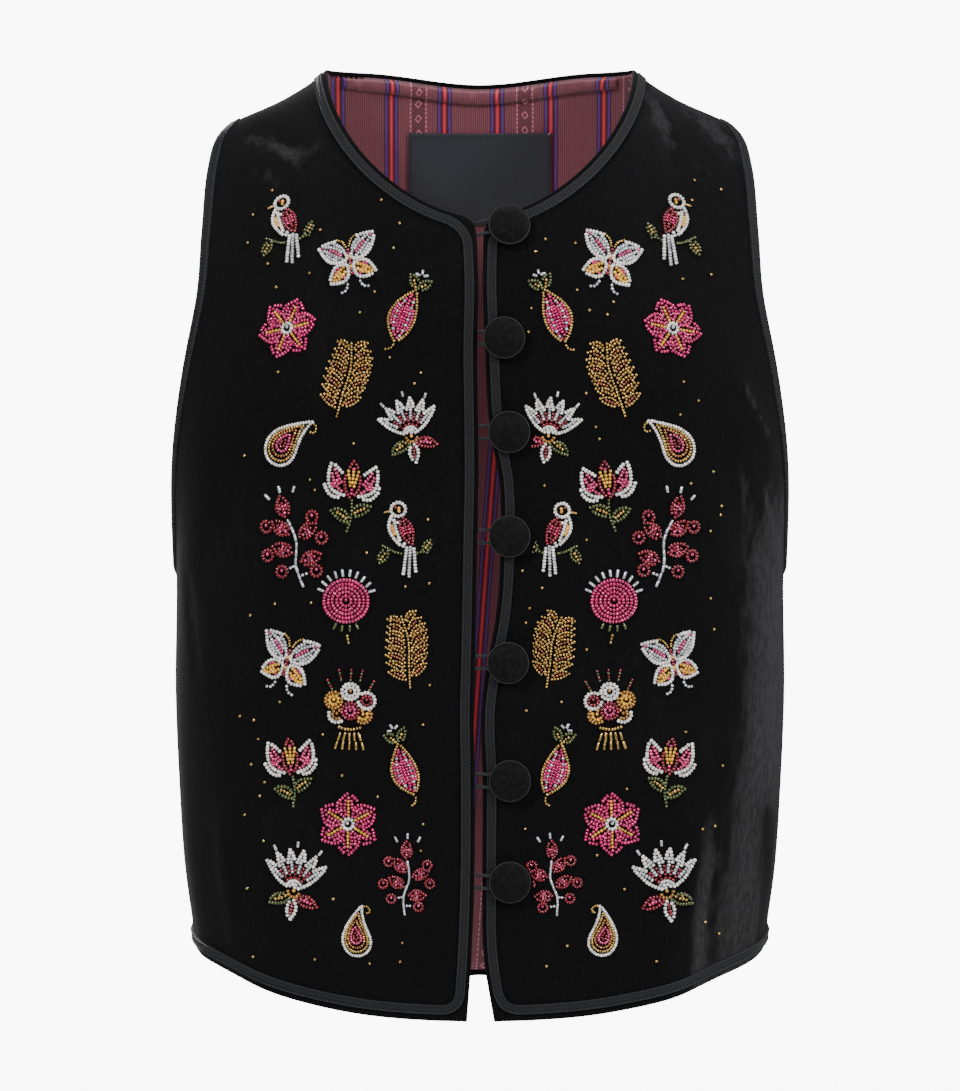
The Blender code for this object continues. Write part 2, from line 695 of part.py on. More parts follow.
def add_back_braids(collection):
    """The braid along the back neck and the braid along the back hem."""
    reach = EDGE_MARGIN + BRAID_WIDTH / 2
    outer_reach = NECK_HALF_WIDTH + reach
    neck = []
    for across in np.linspace(-outer_reach, outer_reach, 61):
        share = across / outer_reach
        arc = place_on_form(across, shoulder_at(abs(across)))[0]
        inside = share * NECK_HALF_WIDTH
        edge_down = place_on_form(inside, back_neck_height(inside))[1]
        rounding = (1 - abs(share)) ** NECK_BRAID_ROUNDING
        neck.append((arc, edge_down + SEAM_GAP + reach * rounding))
    add_braid("braid_back_neck", [(BACK, braid_line(np.array(neck)))], collection)
    end = 1 - SEAM_GAP / QUARTER
    hem = hem_line(BACK, -end, end, HEM_MARGIN + BRAID_WIDTH / 2)
    add_braid("braid_back_hem", [(BACK, braid_line(hem))], collection)


def build():
    for obj in list(bpy.data.objects):
        bpy.data.objects.remove(obj, do_unlink=True)
    collection = bpy.data.collections.new("cropped_waistcoat")
    bpy.context.scene.collection.children.link(collection)
    for side, word in ((-1, "right"), (1, "left")):
        add_wall(f"front_{word}", FRONT, front_grid(side), 0.0, -FRONT_WALL, VELVET, collection)
        add_front_braid(f"braid_front_{word}", side, collection)
        add_armhole_braid(f"braid_armhole_{word}", side, collection)
    add_back_pieces(collection)
    add_back_braids(collection)
    for number, place in enumerate(BUTTONS, start=1):
        add_button(f"button_{number}", place, collection)
        add_loop(f"loop_{number}", place, collection)


build()
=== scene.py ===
"""Looks of the cropped velvet waistcoat, laid out as a Blender add-on and run as a script.

It rebuilds each cloth piece more finely on the same hollow form as the CAD part, adds its creases,
trim, lining and beadwork, and sets the stage. Metres, +Z up, the front faces -Y.
"""

import math
from collections import namedtuple

import bmesh
import bpy
import numpy as np
from mathutils import Matrix, Vector
from mathutils.kdtree import KDTree


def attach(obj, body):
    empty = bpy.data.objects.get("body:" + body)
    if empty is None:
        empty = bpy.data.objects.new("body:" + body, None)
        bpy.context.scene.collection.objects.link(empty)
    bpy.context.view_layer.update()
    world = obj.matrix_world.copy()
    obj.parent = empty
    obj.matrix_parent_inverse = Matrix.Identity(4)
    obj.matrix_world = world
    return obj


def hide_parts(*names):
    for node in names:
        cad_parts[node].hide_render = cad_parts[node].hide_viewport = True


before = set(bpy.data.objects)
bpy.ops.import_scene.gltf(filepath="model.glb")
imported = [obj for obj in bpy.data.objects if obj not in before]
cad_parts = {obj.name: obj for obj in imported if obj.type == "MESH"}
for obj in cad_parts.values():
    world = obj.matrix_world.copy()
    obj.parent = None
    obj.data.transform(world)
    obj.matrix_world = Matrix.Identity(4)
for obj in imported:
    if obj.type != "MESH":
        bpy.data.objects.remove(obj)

bl_info = {
    "name": "Cropped velvet waistcoat",
    "version": (1, 0, 0),
    "blender": (4, 5, 0),
    "location": "View3D > Sidebar > Waistcoat",
    "description": "Dresses the waistcoat's CAD part: velvet, lining, braid, buttons, loops and beadwork",
    "category": "Object",
}

BODY = "root"
SEED = 11
SIDES = ((-1, "right"), (1, "left"))

# Walls and gaps, as in the CAD part
SEAM_GAP = 0.0003
FRONT_WALL = 0.0016
BACK_WALL = 0.0012
LINING_WALL = 0.0010
TRIM_GAP = 0.0003
TRIM_SINK = 0.0001
LINING_GAP = 0.0009
INSIDE_GAP = 0.0008
FRONT_RIM, BACK_RIM, LABEL_RIM = 0.00035, 0.0003, 0.00025

# The hollow form
FRONT, BACK = -1, 1
REFERENCE_HALF_WIDTH = 0.166
REFERENCE_DEPTH = 0.108
SECTION_ROUNDNESS = 2.8
SHOULDER_ROUNDNESS = 1.6
SHOULDER_REACH = 0.170
SHOULDER_DEPTH = 0.100
PROFILE_STEPS = 900
SLOPE_STEP = 0.0010

# Neck, shoulder and trim lines
NECK_HALF_WIDTH = 0.083
SHOULDER_TIP = 0.136
FRONT_NECK_DEPTH = 0.085
FRONT_NECK_ROUNDNESS = 1.72
BACK_NECK_DEPTH = 0.005
BACK_NECK_DIP = 0.062
NECK_CORNER_REACH = 0.010
BRAID_WIDTH = 0.0050
BRAID_HEIGHT = 0.0015
BRAID_STEP = 0.0011
PLAIT_PITCH, EDGE_CORD_PITCH = 0.0022, 0.0013
BRAID_PRESSED = 0.30
PRESSED_REACH = 0.018
EDGE_MARGIN = 0.0022
HEM_MARGIN = 0.0034
HEM_CORNER_REACH = 0.011
ARMHOLE_MARGIN = 0.0020
NECK_BRAID_ROUNDING = 0.25
SHOULDER_STOP = 0.0060

# Buttons and loops
BUTTON_RADIUS = 0.0110
BUTTON_DOME = 0.0050
BUTTON_RIM = 0.0012
SHANK_RADIUS = 0.0020
SHANK_TOP = 0.0044
BUTTON_SIDES = 48
DOME_SHARE = 0.93
BACK_SHARE = 0.80
LIP_START, LIP_FOOT = 0.935, -0.0002
# The lip in steps out and down from the dome: shares of the radius, heights from the rim
BUTTON_LIP = ((0.945, 0.0011), (0.975, 0.0012), (1.0, 0.0006), (1.0, LIP_FOOT), (0.97, -0.0009))
CORD_RADIUS = 0.0010
PLY_RADIUS = 0.00055
TWIST_PITCH = 0.0030
LOOP_LEAD = 0.0010

# Lining and label
LINING_EDGE = 0.0035
LINING_HEM = 0.0035
NECK_FOLD_TOP = 0.0020
NECK_FOLD_HEIGHT = 0.0085
PUCKERS = 20
PUCKER_SPACING = (0.006, 0.015)
PUCKER_WIDTH = 0.0019
PUCKER_DEPTH = 0.0009
BAND_BULGE = 0.0008
# The lining hangs askew below this length down the cloth, by this much for each metre
LINING_LEAN_FROM = 0.255
LINING_LEAN = 0.072
RIB_PITCH = 0.00115
STRIPE_PITCH, STRIPE_START = 0.0287, 0.0095
FIGURE_PITCH, FIGURE_START = 0.0574, 0.0242
DIAMOND_PITCH, DIAMOND_START = 0.0095, 0.002
DASH_PITCH = 0.0028
TICK_PITCH = 0.0011
LABEL_WIDTH = 0.080
LABEL_TOP = -0.029
LABEL_FOOT = -0.079
STITCH_RADIUS = 0.00024
STITCH_LENGTH = 0.0013
STITCH_PITCH = 0.0024
STITCH_MARGIN = 0.0012

# How many rows and columns of faces the shown cloth has
FRONT_COLUMNS = 60
EDGE_ROWS, CORNER_ROWS, NECK_ROWS = 56, 6, 30
SIDE_ROWS = 32
BACK_NECK_COLUMNS, BACK_SHOULDER_COLUMNS = 30, 18
BACK_SIDE_ROWS, BACK_ARMHOLE_ROWS = 26, 44


def table(columns, *rows):
    """Rows of values under named columns."""
    row = namedtuple("Row", columns)
    return tuple(row(*values) for values in rows)


# The body's half width and depth at each height
SECTIONS = table(
    "height half_width front_depth back_depth",
    (-0.515, 0.1510, 0.1015, 0.0890),
    (-0.470, 0.1535, 0.1020, 0.0880),
    (-0.430, 0.1588, 0.1040, 0.0870),
    (-0.383, 0.1620, 0.1060, 0.0875),
    (-0.340, 0.1638, 0.1080, 0.0890),
    (-0.265, 0.1636, 0.1110, 0.0920),
    (-0.200, 0.1680, 0.1110, 0.0920),
    (-0.120, 0.1706, 0.1110, 0.0920),
    (-0.050, 0.1710, 0.1110, 0.0910),
    (0.050, 0.1710, 0.1110, 0.0900),
)

# The shoulder line's height, going out from the middle
SHOULDER_LINE = table(
    "across height",
    (0.000, 0.0340),
    (0.050, 0.0215),
    (0.083, 0.0000),
    (0.091, -0.0068),
    (0.103, -0.0144),
    (0.136, -0.0300),
    (0.175, -0.0560),
)

# Where the edge of each front hangs, measured across from the centre
FRONT_EDGES = table(
    "height right_front left_front",
    (-0.5068, -0.0068, 0.0074),
    (-0.4733, -0.0045, 0.0020),
    (-0.4330, -0.0030, 0.0012),
    (-0.3799, -0.0028, 0.0014),
    (-0.3400, -0.0032, 0.0008),
    (-0.3181, -0.0026, 0.0040),
    (-0.2930, -0.0021, 0.0085),
    (-0.2523, -0.0014, 0.0108),
    (-0.2240, -0.0008, 0.0102),
    (-0.1978, -0.0009, 0.0054),
    (-0.1485, -0.0014, 0.0024),
    (-0.1250, -0.0008, 0.0014),
    (-0.0894, -0.0020, 0.0020),
    (-0.0800, -0.0022, 0.0022),
)

# The hem, from the centre (share 0) round to the side seam (share 1)
HEM = table(
    "share front back",
    (0.00, -0.5068, -0.4950),
    (0.14, -0.5060, -0.4947),
    (0.28, -0.5036, -0.4932),
    (0.48, -0.4956, -0.4880),
    (0.65, -0.4850, -0.4805),
    (0.82, -0.4750, -0.4728),
    (1.00, -0.4684, -0.4684),
)

# The armhole's cut edge, from the underarm up to the shoulder tip
FRONT_ARMHOLE = table(
    "share height",
    (1.000, -0.2660),
    (0.955, -0.2625),
    (0.905, -0.2480),
    (0.855, -0.2260),
    (0.801, -0.2000),
    (0.735, -0.1620),
    (0.680, -0.1240),
    (0.664, -0.0900),
    (0.648, -0.0540),
    (0.625, -0.0375),
)
BACK_ARMHOLE = table(
    "share height",
    (1.000, -0.2660),
    (0.935, -0.2610),
    (0.860, -0.2460),
    (0.790, -0.2230),
    (0.735, -0.1900),
    (0.705, -0.1500),
    (0.690, -0.1100),
    (0.675, -0.0750),
    (0.655, -0.0500),
    (0.628, -0.0385),
)

# The largest folds, the same as the CAD part's: a line down the cloth that deepens to the hem
FOLDS = table(
    "part top_arc top foot_arc foot half_width depth",
    (FRONT, 0.176, -0.290, 0.134, -0.540, 0.038, -0.0038),
    (FRONT, 0.132, -0.330, 0.100, -0.540, 0.030, 0.0020),
    (FRONT, -0.172, -0.300, -0.150, -0.540, 0.032, -0.0030),
    (FRONT, 0.118, -0.180, 0.160, -0.270, 0.026, -0.0022),
    (FRONT, -0.118, -0.190, -0.158, -0.275, 0.026, -0.0018),
    (BACK, 0.062, -0.230, 0.076, -0.540, 0.036, -0.0032),
    (BACK, -0.070, -0.260, -0.058, -0.540, 0.034, -0.0028),
    (BACK, 0.150, -0.290, 0.132, -0.540, 0.034, 0.0026),
    (BACK, -0.152, -0.280, -0.138, -0.540, 0.034, 0.0024),
)

# Smaller creases between two places seen from the front or the back, as they show in the pile
STROKE = "part from_x from_z to_x to_z bow half_width depth"
CREASES = table(
    STROKE,
    (FRONT, -0.122, -0.034, -0.084, -0.056, 0.003, 0.0080, -0.0011),
    (FRONT, -0.128, -0.046, -0.094, -0.074, 0.002, 0.0090, 0.0009),
    (FRONT, 0.088, -0.018, 0.104, -0.064, 0.004, 0.0085, -0.0013),
    (FRONT, 0.117, -0.030, 0.137, -0.056, 0.002, 0.0070, -0.0010),
    (FRONT, 0.132, -0.160, 0.156, -0.208, -0.002, 0.0085, 0.0011),
    (FRONT, 0.146, -0.215, 0.159, -0.250, 0.000, 0.0080, -0.0012),
    (FRONT, -0.158, -0.262, -0.150, -0.330, 0.002, 0.0085, -0.0012),
    (FRONT, -0.150, -0.225, -0.128, -0.262, 0.002, 0.0100, 0.0008),
    (FRONT, 0.121, -0.400, 0.117, -0.482, 0.002, 0.0110, -0.0014),
    (FRONT, 0.140, -0.300, 0.131, -0.400, -0.003, 0.0140, 0.0014),
    (FRONT, 0.153, -0.385, 0.150, -0.460, 0.001, 0.0100, -0.0012),
    (FRONT, -0.136, -0.390, -0.131, -0.478, -0.002, 0.0120, 0.0012),
    (FRONT, 0.060, -0.410, 0.056, -0.495, 0.001, 0.0150, -0.0009),
    (FRONT, -0.062, -0.430, -0.066, -0.492, 0.001, 0.0140, -0.0008),
    (BACK, -0.118, -0.050, -0.070, -0.075, 0.003, 0.0100, -0.0012),
    (BACK, 0.112, -0.046, 0.074, -0.080, -0.003, 0.0110, -0.0011),
    (BACK, 0.140, -0.235, 0.096, -0.285, 0.004, 0.0130, -0.0015),
    (BACK, -0.138, -0.225, -0.100, -0.262, -0.003, 0.0120, -0.0013),
    (BACK, 0.020, -0.300, 0.026, -0.440, 0.004, 0.0150, 0.0012),
    (BACK, -0.024, -0.340, -0.018, -0.470, -0.003, 0.0140, -0.0012),
    (BACK, 0.104, -0.350, 0.108, -0.470, 0.002, 0.0150, -0.0014),
    (BACK, -0.104, -0.330, -0.112, -0.452, -0.002, 0.0140, -0.0012),
)

# Painted sheen on the pile, lighter where it is brushed and turns to the light round the side and along its
# folds, and painted shade in the folds below 0, as strokes seen from the front or the back
PAINTED_SHEEN = table(
    STROKE,
    (FRONT, 0.160, -0.215, 0.152, -0.400, 0.000, 0.0420, 0.82),
    (FRONT, 0.153, -0.330, 0.146, -0.530, 0.000, 0.0380, 0.52),
    (FRONT, 0.143, -0.372, 0.128, -0.545, 0.000, 0.0260, 0.40),
    (FRONT, 0.1215, -0.395, 0.1165, -0.525, 0.000, 0.0120, 0.62),
    (FRONT, 0.1250, -0.425, 0.1230, -0.490, 0.000, 0.0050, -0.25),
    (FRONT, 0.1520, -0.380, 0.1500, -0.500, 0.000, 0.0160, -0.50),
    (FRONT, 0.136, -0.163, 0.156, -0.204, -0.003, 0.0030, 0.50),
    (FRONT, 0.151, -0.225, 0.156, -0.246, 0.000, 0.0024, 0.45),
    (FRONT, 0.139, -0.212, 0.142, -0.246, 0.000, 0.0050, 0.30),
    (FRONT, 0.085, -0.008, 0.103, -0.054, 0.004, 0.0085, 0.42),
    (FRONT, 0.106, -0.020, 0.144, -0.058, 0.004, 0.0090, 0.42),
    (FRONT, 0.112, -0.050, 0.126, -0.076, 0.002, 0.0080, 0.16),
    (FRONT, -0.130, -0.038, -0.092, -0.056, 0.004, 0.0085, 0.42),
    (FRONT, -0.126, -0.058, -0.100, -0.070, 0.003, 0.0070, 0.24),
    (FRONT, -0.108, -0.050, -0.080, -0.042, 0.000, 0.0065, 0.32),
    (FRONT, -0.158, -0.268, -0.152, -0.318, 0.002, 0.0022, 0.38),
    (FRONT, -0.156, -0.300, -0.148, -0.440, 0.000, 0.0055, 0.14),
    (BACK, 0.124, -0.270, 0.104, -0.430, 0.006, 0.0220, 0.30),
    (BACK, -0.132, -0.225, -0.116, -0.350, -0.006, 0.0200, 0.26),
    (BACK, 0.046, -0.120, 0.020, -0.250, 0.008, 0.0160, 0.16),
    (BACK, -0.052, -0.310, -0.040, -0.455, -0.005, 0.0170, 0.20),
    (BACK, 0.088, -0.042, 0.120, -0.068, 0.004, 0.0060, 0.34),
    (BACK, -0.096, -0.040, -0.124, -0.078, -0.004, 0.0070, 0.28),
)

BUTTONS = table(
    "across height on_braid",
    (0.0150, -0.0909, True),
    (0.0126, -0.1485, False),
    (0.0152, -0.1978, False),
    (0.0153, -0.2523, True),
    (0.0146, -0.3181, False),
    (0.0156, -0.3799, False),
    (0.0156, -0.4330, False),
)

# Across the braid, as a share of its half width: how high it stands above the cloth
BRAID_PROFILE = table(
    "share height",
    (-1.00, 0.00035),
    (-0.97, 0.00100),
    (-0.86, 0.00145),
    (-0.74, 0.00125),
    (-0.64, 0.00080),
    (-0.46, 0.00105),
    (-0.22, 0.00128),
    (0.00, 0.00112),
    (0.22, 0.00128),
    (0.46, 0.00105),
    (0.64, 0.00080),
    (0.74, 0.00125),
    (0.86, 0.00145),
    (0.97, 0.00100),
    (1.00, 0.00035),
)

# Each bead's finish and linear colour
BEAD_COLOURS = {
    "pearl": ("opaque_bead", (0.82, 0.80, 0.77)),
    "clear": ("glass_bead", (0.58, 0.60, 0.64)),
    "fuchsia": ("glass_bead", (0.560, 0.016, 0.145)),
    "rose": ("glass_bead", (0.620, 0.060, 0.190)),
    "red": ("glass_bead", (0.230, 0.007, 0.020)),
    "yellow": ("opaque_bead", (0.780, 0.400, 0.040)),
    "amber": ("glass_bead", (0.420, 0.190, 0.030)),
    "gold": ("metal_bead", (0.560, 0.370, 0.120)),
    "copper": ("metal_bead", (0.400, 0.150, 0.090)),
    "olive": ("glass_bead", (0.080, 0.105, 0.022)),
}
BEAD_FINISHES = ("opaque_bead", "glass_bead", "metal_bead")
SEED_WIDTH, SEED_LENGTH = 1.95, 1.50
BUGLE_WIDTH = 1.50
BEAD_CLEARANCE = 0.70
ROW_SPACING = 1.02
RING_PITCH, RING_SLACK = 1.84, 0.35
BEAD_SIDES = 7
SEED_ROUNDING, BUGLE_ROUNDING = 0.24, 0.10
# A bead this many times as long as it is wide is a tube
TUBE_SHARE = 1.6
BEAD_RISE = 0.46
BEAD_FLATNESS = 0.92
BEAD_TINTS = (0.62, 1.20)
BEAD_SIZES = (0.95, 1.05)
BEAD_JITTER = 0.05
MOTIF_SIZES = (0.98, 1.02)
MOTIF_TURN = 3
# The single gold beads: how many, where they may lie, and how far apart
SINGLE_BEADS = 50
SINGLE_ACROSS, SINGLE_HEIGHT = (0.022, 0.128), (-0.480, -0.060)
SINGLE_SPACING = 0.0048
SINGLE_LENGTH, SINGLE_WIDTH = 0.0015, 0.0018
EDGE_REACH = 0.0100
BUTTON_REACH = BUTTON_RADIUS + 0.0018
MOTIF_SCALE = 1.09
TRIM_REACH = 0.0115

# Where each motif's middle lies on the wearer's right front, in millimetres; the other front mirrors it
MOTIFS = table(
    "draw x z turn size",
    ("songbird", -100, -86, 4, 0.98),
    ("six_petal", -101, -143, 12, 0.98),
    ("paisley", -102, -201, -24, 1.00),
    ("berry_sprig", -98, -257, 8, 1.00),
    ("butterfly", -101, -318, -14, 0.95),
    ("tulip", -99, -373, 6, 1.00),
    ("fan_flower", -97, -432, -8, 1.00),
    ("butterfly", -68, -108, 16, 0.98),
    ("fern", -70, -170, -10, 0.95),
    ("tulip", -67, -228, -8, 1.02),
    ("pompon", -70, -286, 0, 1.00),
    ("posy", -68, -343, 0, 0.95),
    ("six_petal", -69, -403, 30, 0.96),
    ("paisley", -66, -460, 20, 0.86),
    ("pod", -38, -135, -22, 0.92),
    ("fan_flower", -37, -194, 10, 0.90),
    ("songbird", -38, -250, -4, 0.90),
    ("fern", -38, -312, 12, 0.90),
    ("pod", -39, -372, 18, 0.88),
    ("berry_sprig", -39, -433, -10, 0.78),
)


def smooth_curve(places, values):
    """A cubic through the points, whose slope at each comes from its neighbours."""
    places = np.array(places)
    values = np.array(values)
    slopes = np.gradient(values, places)

    def value_at(place):
        place = np.clip(place, places[0], places[-1])
        low = np.clip(np.searchsorted(places, place) - 1, 0, len(places) - 2)
        width = places[low + 1] - places[low]
        t = (place - places[low]) / width
        start = values[low] * (1 + 2 * t) * (1 - t) ** 2 + slopes[low] * width * t * (1 - t) ** 2
        end = values[low + 1] * (3 - 2 * t) * t**2 - slopes[low + 1] * width * t**2 * (1 - t)
        return start + end

    return value_at


def table_curve(rows, place, value):
    """A smooth curve of one column of a table over another."""
    return smooth_curve([getattr(row, place) for row in rows], [getattr(row, value) for row in rows])


def superellipse(roundness, rise_size, fall_size):
    """The quarter of a superellipse by its own length: (length, rising side, falling side)."""
    angle = np.linspace(0, math.pi / 2, PROFILE_STEPS)
    rise = np.sin(angle) ** (2 / roundness)
    fall = np.cos(angle) ** (2 / roundness)
    steps = np.hypot(np.diff(rise * rise_size), np.diff(fall * fall_size))
    return np.concatenate([[0.0], np.cumsum(steps)]), rise, fall


half_width_at = table_curve(SECTIONS, "height", "half_width")
depth_at = {
    FRONT: table_curve(SECTIONS, "height", "front_depth"),
    BACK: table_curve(SECTIONS, "height", "back_depth"),
}
shoulder_at = table_curve(SHOULDER_LINE, "across", "height")
hem_at = {FRONT: table_curve(HEM, "share", "front"), BACK: table_curve(HEM, "share", "back")}
front_edge_at = {
    -1: table_curve(FRONT_EDGES, "height", "right_front"),
    1: table_curve(FRONT_EDGES, "height", "left_front"),
}
SECTION_LENGTH, SECTION_RISE, SECTION_FALL = superellipse(
    SECTION_ROUNDNESS, REFERENCE_HALF_WIDTH, REFERENCE_DEPTH
)
DROP_LENGTH, DROP_RISE, DROP_FALL = superellipse(SHOULDER_ROUNDNESS, SHOULDER_DEPTH, SHOULDER_REACH)
QUARTER = SECTION_LENGTH[-1]
SHOULDER_ROLL = DROP_LENGTH[-1]


def unit(vectors):
    """Each vector at length 1."""
    return vectors / np.linalg.norm(vectors, axis=-1, keepdims=True)


def drop_at(down):
    """How far below the shoulder line each point lies."""
    rolled = SHOULDER_REACH * (1 - np.interp(down, DROP_LENGTH, DROP_FALL))
    return np.where(down > SHOULDER_ROLL, SHOULDER_REACH + down - SHOULDER_ROLL, rolled)


def form_points(part, arc, down):
    """Points of the hollow form before its folds, by their lengths along it."""
    reach = np.minimum(np.abs(arc), QUARTER)
    across = np.interp(reach, SECTION_LENGTH, SECTION_RISE)
    along = np.interp(reach, SECTION_LENGTH, SECTION_FALL)
    drop = drop_at(np.maximum(down, 0.0))
    height = -drop
    for _ in range(4):
        half_width = half_width_at(height)
        height = shoulder_at(half_width * across) - drop
    bulge = np.interp(down, DROP_LENGTH, DROP_RISE)
    depth = depth_at[part](height) * along * bulge
    return np.stack([np.copysign(half_width * across, arc), part * depth, height], -1)


def place_on_form(across, height):
    """(arc, down) of the points of the form that are seen at these places from straight in front."""
    across, height = np.broadcast_arrays(np.asarray(across, float), np.asarray(height, float))
    share = np.minimum(np.abs(across) / half_width_at(height), 1.0)
    arc = np.copysign(np.interp(share, SECTION_RISE, SECTION_LENGTH), across)
    drop = shoulder_at(np.abs(across)) - height
    rolled = np.interp(np.maximum(drop, 0.0) / SHOULDER_REACH, 1 - DROP_FALL, DROP_LENGTH)
    down = np.where(drop > SHOULDER_REACH, SHOULDER_ROLL + drop - SHOULDER_REACH, rolled)
    return np.stack([arc, down], -1)


def place_by_share(share, height):
    """(arc, down) at shares of the way round from the centre to the side seam."""
    share, height = np.broadcast_arrays(np.asarray(share, float), np.asarray(height, float))
    reach = np.abs(share) * QUARTER
    across = half_width_at(height) * np.interp(reach, SECTION_LENGTH, SECTION_RISE)
    places = place_on_form(across, height)
    return np.stack([np.copysign(reach, share), places[..., 1]], -1)


def frame_on_form(part, places):
    """The form's two directions along the cloth, per metre of arc and of down, and its outward normal."""
    arc = np.clip(places[..., 0], SLOPE_STEP - QUARTER, QUARTER - SLOPE_STEP)
    down = np.maximum(places[..., 1], 0.0)
    low = np.maximum(down - SLOPE_STEP, 0.0)
    by_arc = form_points(part, arc + SLOPE_STEP, down) - form_points(part, arc - SLOPE_STEP, down)
    by_down = form_points(part, arc, down + SLOPE_STEP) - form_points(part, arc, low)
    normal = unit(part * np.cross(by_arc, by_down))
    return by_arc / (2 * SLOPE_STEP), by_down / (down + SLOPE_STEP - low)[..., None], normal


def fold_offset(part, arc, height):
    """How far the large folds push the cloth out."""
    offset = np.zeros_like(arc)
    for fold in FOLDS:
        if fold.part != part:
            continue
        t = (height - fold.top) / (fold.foot - fold.top)
        away = np.abs(arc - fold.top_arc - t * (fold.foot_arc - fold.top_arc)) / fold.half_width
        bump = fold.depth * np.cos(np.minimum(away, 1) * math.pi / 2) ** 2 * np.sin(t * math.pi / 2)
        offset += np.where((t > 0) & (t < 1), bump, 0.0)
    return offset


def stroke_field(rows, part, arc, height):
    """The sum of soft strokes at places of the cloth: each is a bowed line that fades at both ends."""
    total = np.zeros(arc.shape)
    for row in rows:
        if row.part != part:
            continue
        start = np.array((place_on_form(row.from_x, row.from_z)[0], row.from_z))
        line = np.array((place_on_form(row.to_x, row.to_z)[0], row.to_z)) - start
        length = np.linalg.norm(line)
        away_arc, away_up = arc - start[0], height - start[1]
        t = np.clip((away_arc * line[0] + away_up * line[1]) / length**2, 0, 1)
        side = (away_up * line[0] - away_arc * line[1]) / length
        side = np.abs(side - row.bow * np.sin(t * math.pi)) / row.half_width
        total += row.depth * np.cos(np.minimum(side, 1) * math.pi / 2) ** 2 * np.sin(t * math.pi) ** 0.7
    return total


def cloth_points(part, places, out=0.0):
    """Points of the folded cloth, moved out from its outer face."""
    places = np.asarray(places, float)
    base = form_points(part, places[..., 0], places[..., 1])
    normal = frame_on_form(part, places)[2]
    lift = fold_offset(part, places[..., 0], base[..., 2])
    lift += stroke_field(CREASES, part, places[..., 0], base[..., 2])
    return base + normal * np.asarray(lift + out)[..., None]


def walk(part, places, direction, distance):
    """(arc, down) after going that far across the cloth in a direction."""
    for _ in range(4):
        by_arc, by_down, _ = frame_on_form(part, places)
        step = direction * distance / 4
        aa, ab, bb = ((p * q).sum(-1) for p, q in ((by_arc, by_arc), (by_arc, by_down), (by_down, by_down)))
        along, below = (by_arc * step).sum(-1), (by_down * step).sum(-1)
        scale = aa * bb - ab * ab
        move = np.stack([bb * along - ab * below, aa * below - ab * along], -1)
        places = places + move / scale[..., None]
    return places


def moved_in(part, line, distance, turn):
    """Each point of a line moved across the cloth, square to the line."""
    if distance == 0.0:
        return line
    ahead = np.gradient(form_points(part, line[:, 0], line[:, 1]), axis=0)
    normal = frame_on_form(part, line)[2]
    return walk(part, line, unit(np.cross(normal, ahead)) * turn, distance)


def line_length(line):
    """The running length of a line of points, starting at 0."""
    return np.concatenate([[0.0], np.cumsum(np.linalg.norm(np.diff(line, axis=0), axis=1))])


def resample(line, count, ease=1.0):
    """The line as count equal steps, or closer together towards its end where ease is over 1."""
    length = line_length(line)
    share = 1 - (1 - np.linspace(0, 1, count + 1)) ** ease
    columns = [np.interp(share * length[-1], length, line[:, i]) for i in range(line.shape[1])]
    return np.stack(columns, axis=1)


def smooth_route(points, steps=160):
    """A smooth dense line through a few places."""
    points = np.array(points)
    length = line_length(points)
    at = np.linspace(0, length[-1], steps)
    columns = [smooth_curve(length, points[:, i])(at) for i in range(points.shape[1])]
    return np.stack(columns, axis=1)


def trimmed(line, reach):
    """The line without its last stretch of that length."""
    length = line_length(line)
    stop = length[-1] - reach
    end = [np.interp(stop, length, line[:, i]) for i in range(2)]
    return np.vstack([line[length < stop], end])


def rounded_corner(first, second, reach):
    """Two lines that meet at a corner, as the first cut short, a round turn, and the second cut short."""
    corner = first[-1]
    before = trimmed(first, reach)
    after = trimmed(second[::-1], reach)[::-1]
    t = np.linspace(0, 1, 24)[:, None]
    turn = before[-1] * (1 - t) ** 2 + corner * 2 * t * (1 - t) + after[0] * t**2
    return before, turn, after


def joined(*lines):
    """Lines end to end, with each shared point once."""
    return np.vstack([lines[0]] + [line[1:] for line in lines[1:]])


def ended_on_shoulder(line, across):
    """The line, stopped short of the shoulder line and then brought to it at this distance across."""
    end = place_on_form(across, shoulder_at(abs(across)))
    return np.vstack([line[line[:, 1] > SHOULDER_STOP], end])


def front_neck_line(side, inset=0.0):
    """The cut neck edge from the centre front up to the shoulder, moved in by inset."""
    start = abs(front_edge_at[side](-FRONT_NECK_DEPTH))
    angles = np.linspace(math.pi / 2, 0, 160)
    across = NECK_HALF_WIDTH * np.cos(angles) ** (2 / FRONT_NECK_ROUNDNESS)
    height = -FRONT_NECK_DEPTH * np.sin(angles) ** (2 / FRONT_NECK_ROUNDNESS)
    kept = across > start
    line = place_on_form(side * across[kept], height[kept])
    if inset == 0.0:
        return line
    return ended_on_shoulder(moved_in(FRONT, line, inset, -side), side * (NECK_HALF_WIDTH + inset))


def front_edge_line(side, inset=0.0):
    """The centre-front edge from the hem up to the neck, moved in by inset."""
    heights = np.linspace(hem_at[FRONT](0.0), -FRONT_NECK_DEPTH, 200)
    return moved_in(FRONT, place_on_form(front_edge_at[side](heights), heights), inset, -side)


def hem_line(part, start, end, inset=0.0):
    """The hem between two shares of the way round, moved up by inset."""
    shares = np.linspace(start, end, 240)
    return place_by_share(shares, hem_at[part](np.abs(shares)) + inset)


def armhole_line(part, side, inset=0.0):
    """The armhole's cut edge from the underarm up to the shoulder tip, moved in by inset."""
    rows = FRONT_ARMHOLE if part == FRONT else BACK_ARMHOLE
    points = [place_by_share(side * row.share, row.height) for row in rows]
    tip = place_on_form(side * SHOULDER_TIP, shoulder_at(SHOULDER_TIP))
    line = moved_in(part, smooth_route(points + [tip]), inset, -side * part)
    return ended_on_shoulder(line, side * (SHOULDER_TIP - inset))


def met_at_seam(line, side):
    """An inset armhole line brought level to the side seam under the arm."""
    return np.vstack([(side * QUARTER, line[0][1]), line])


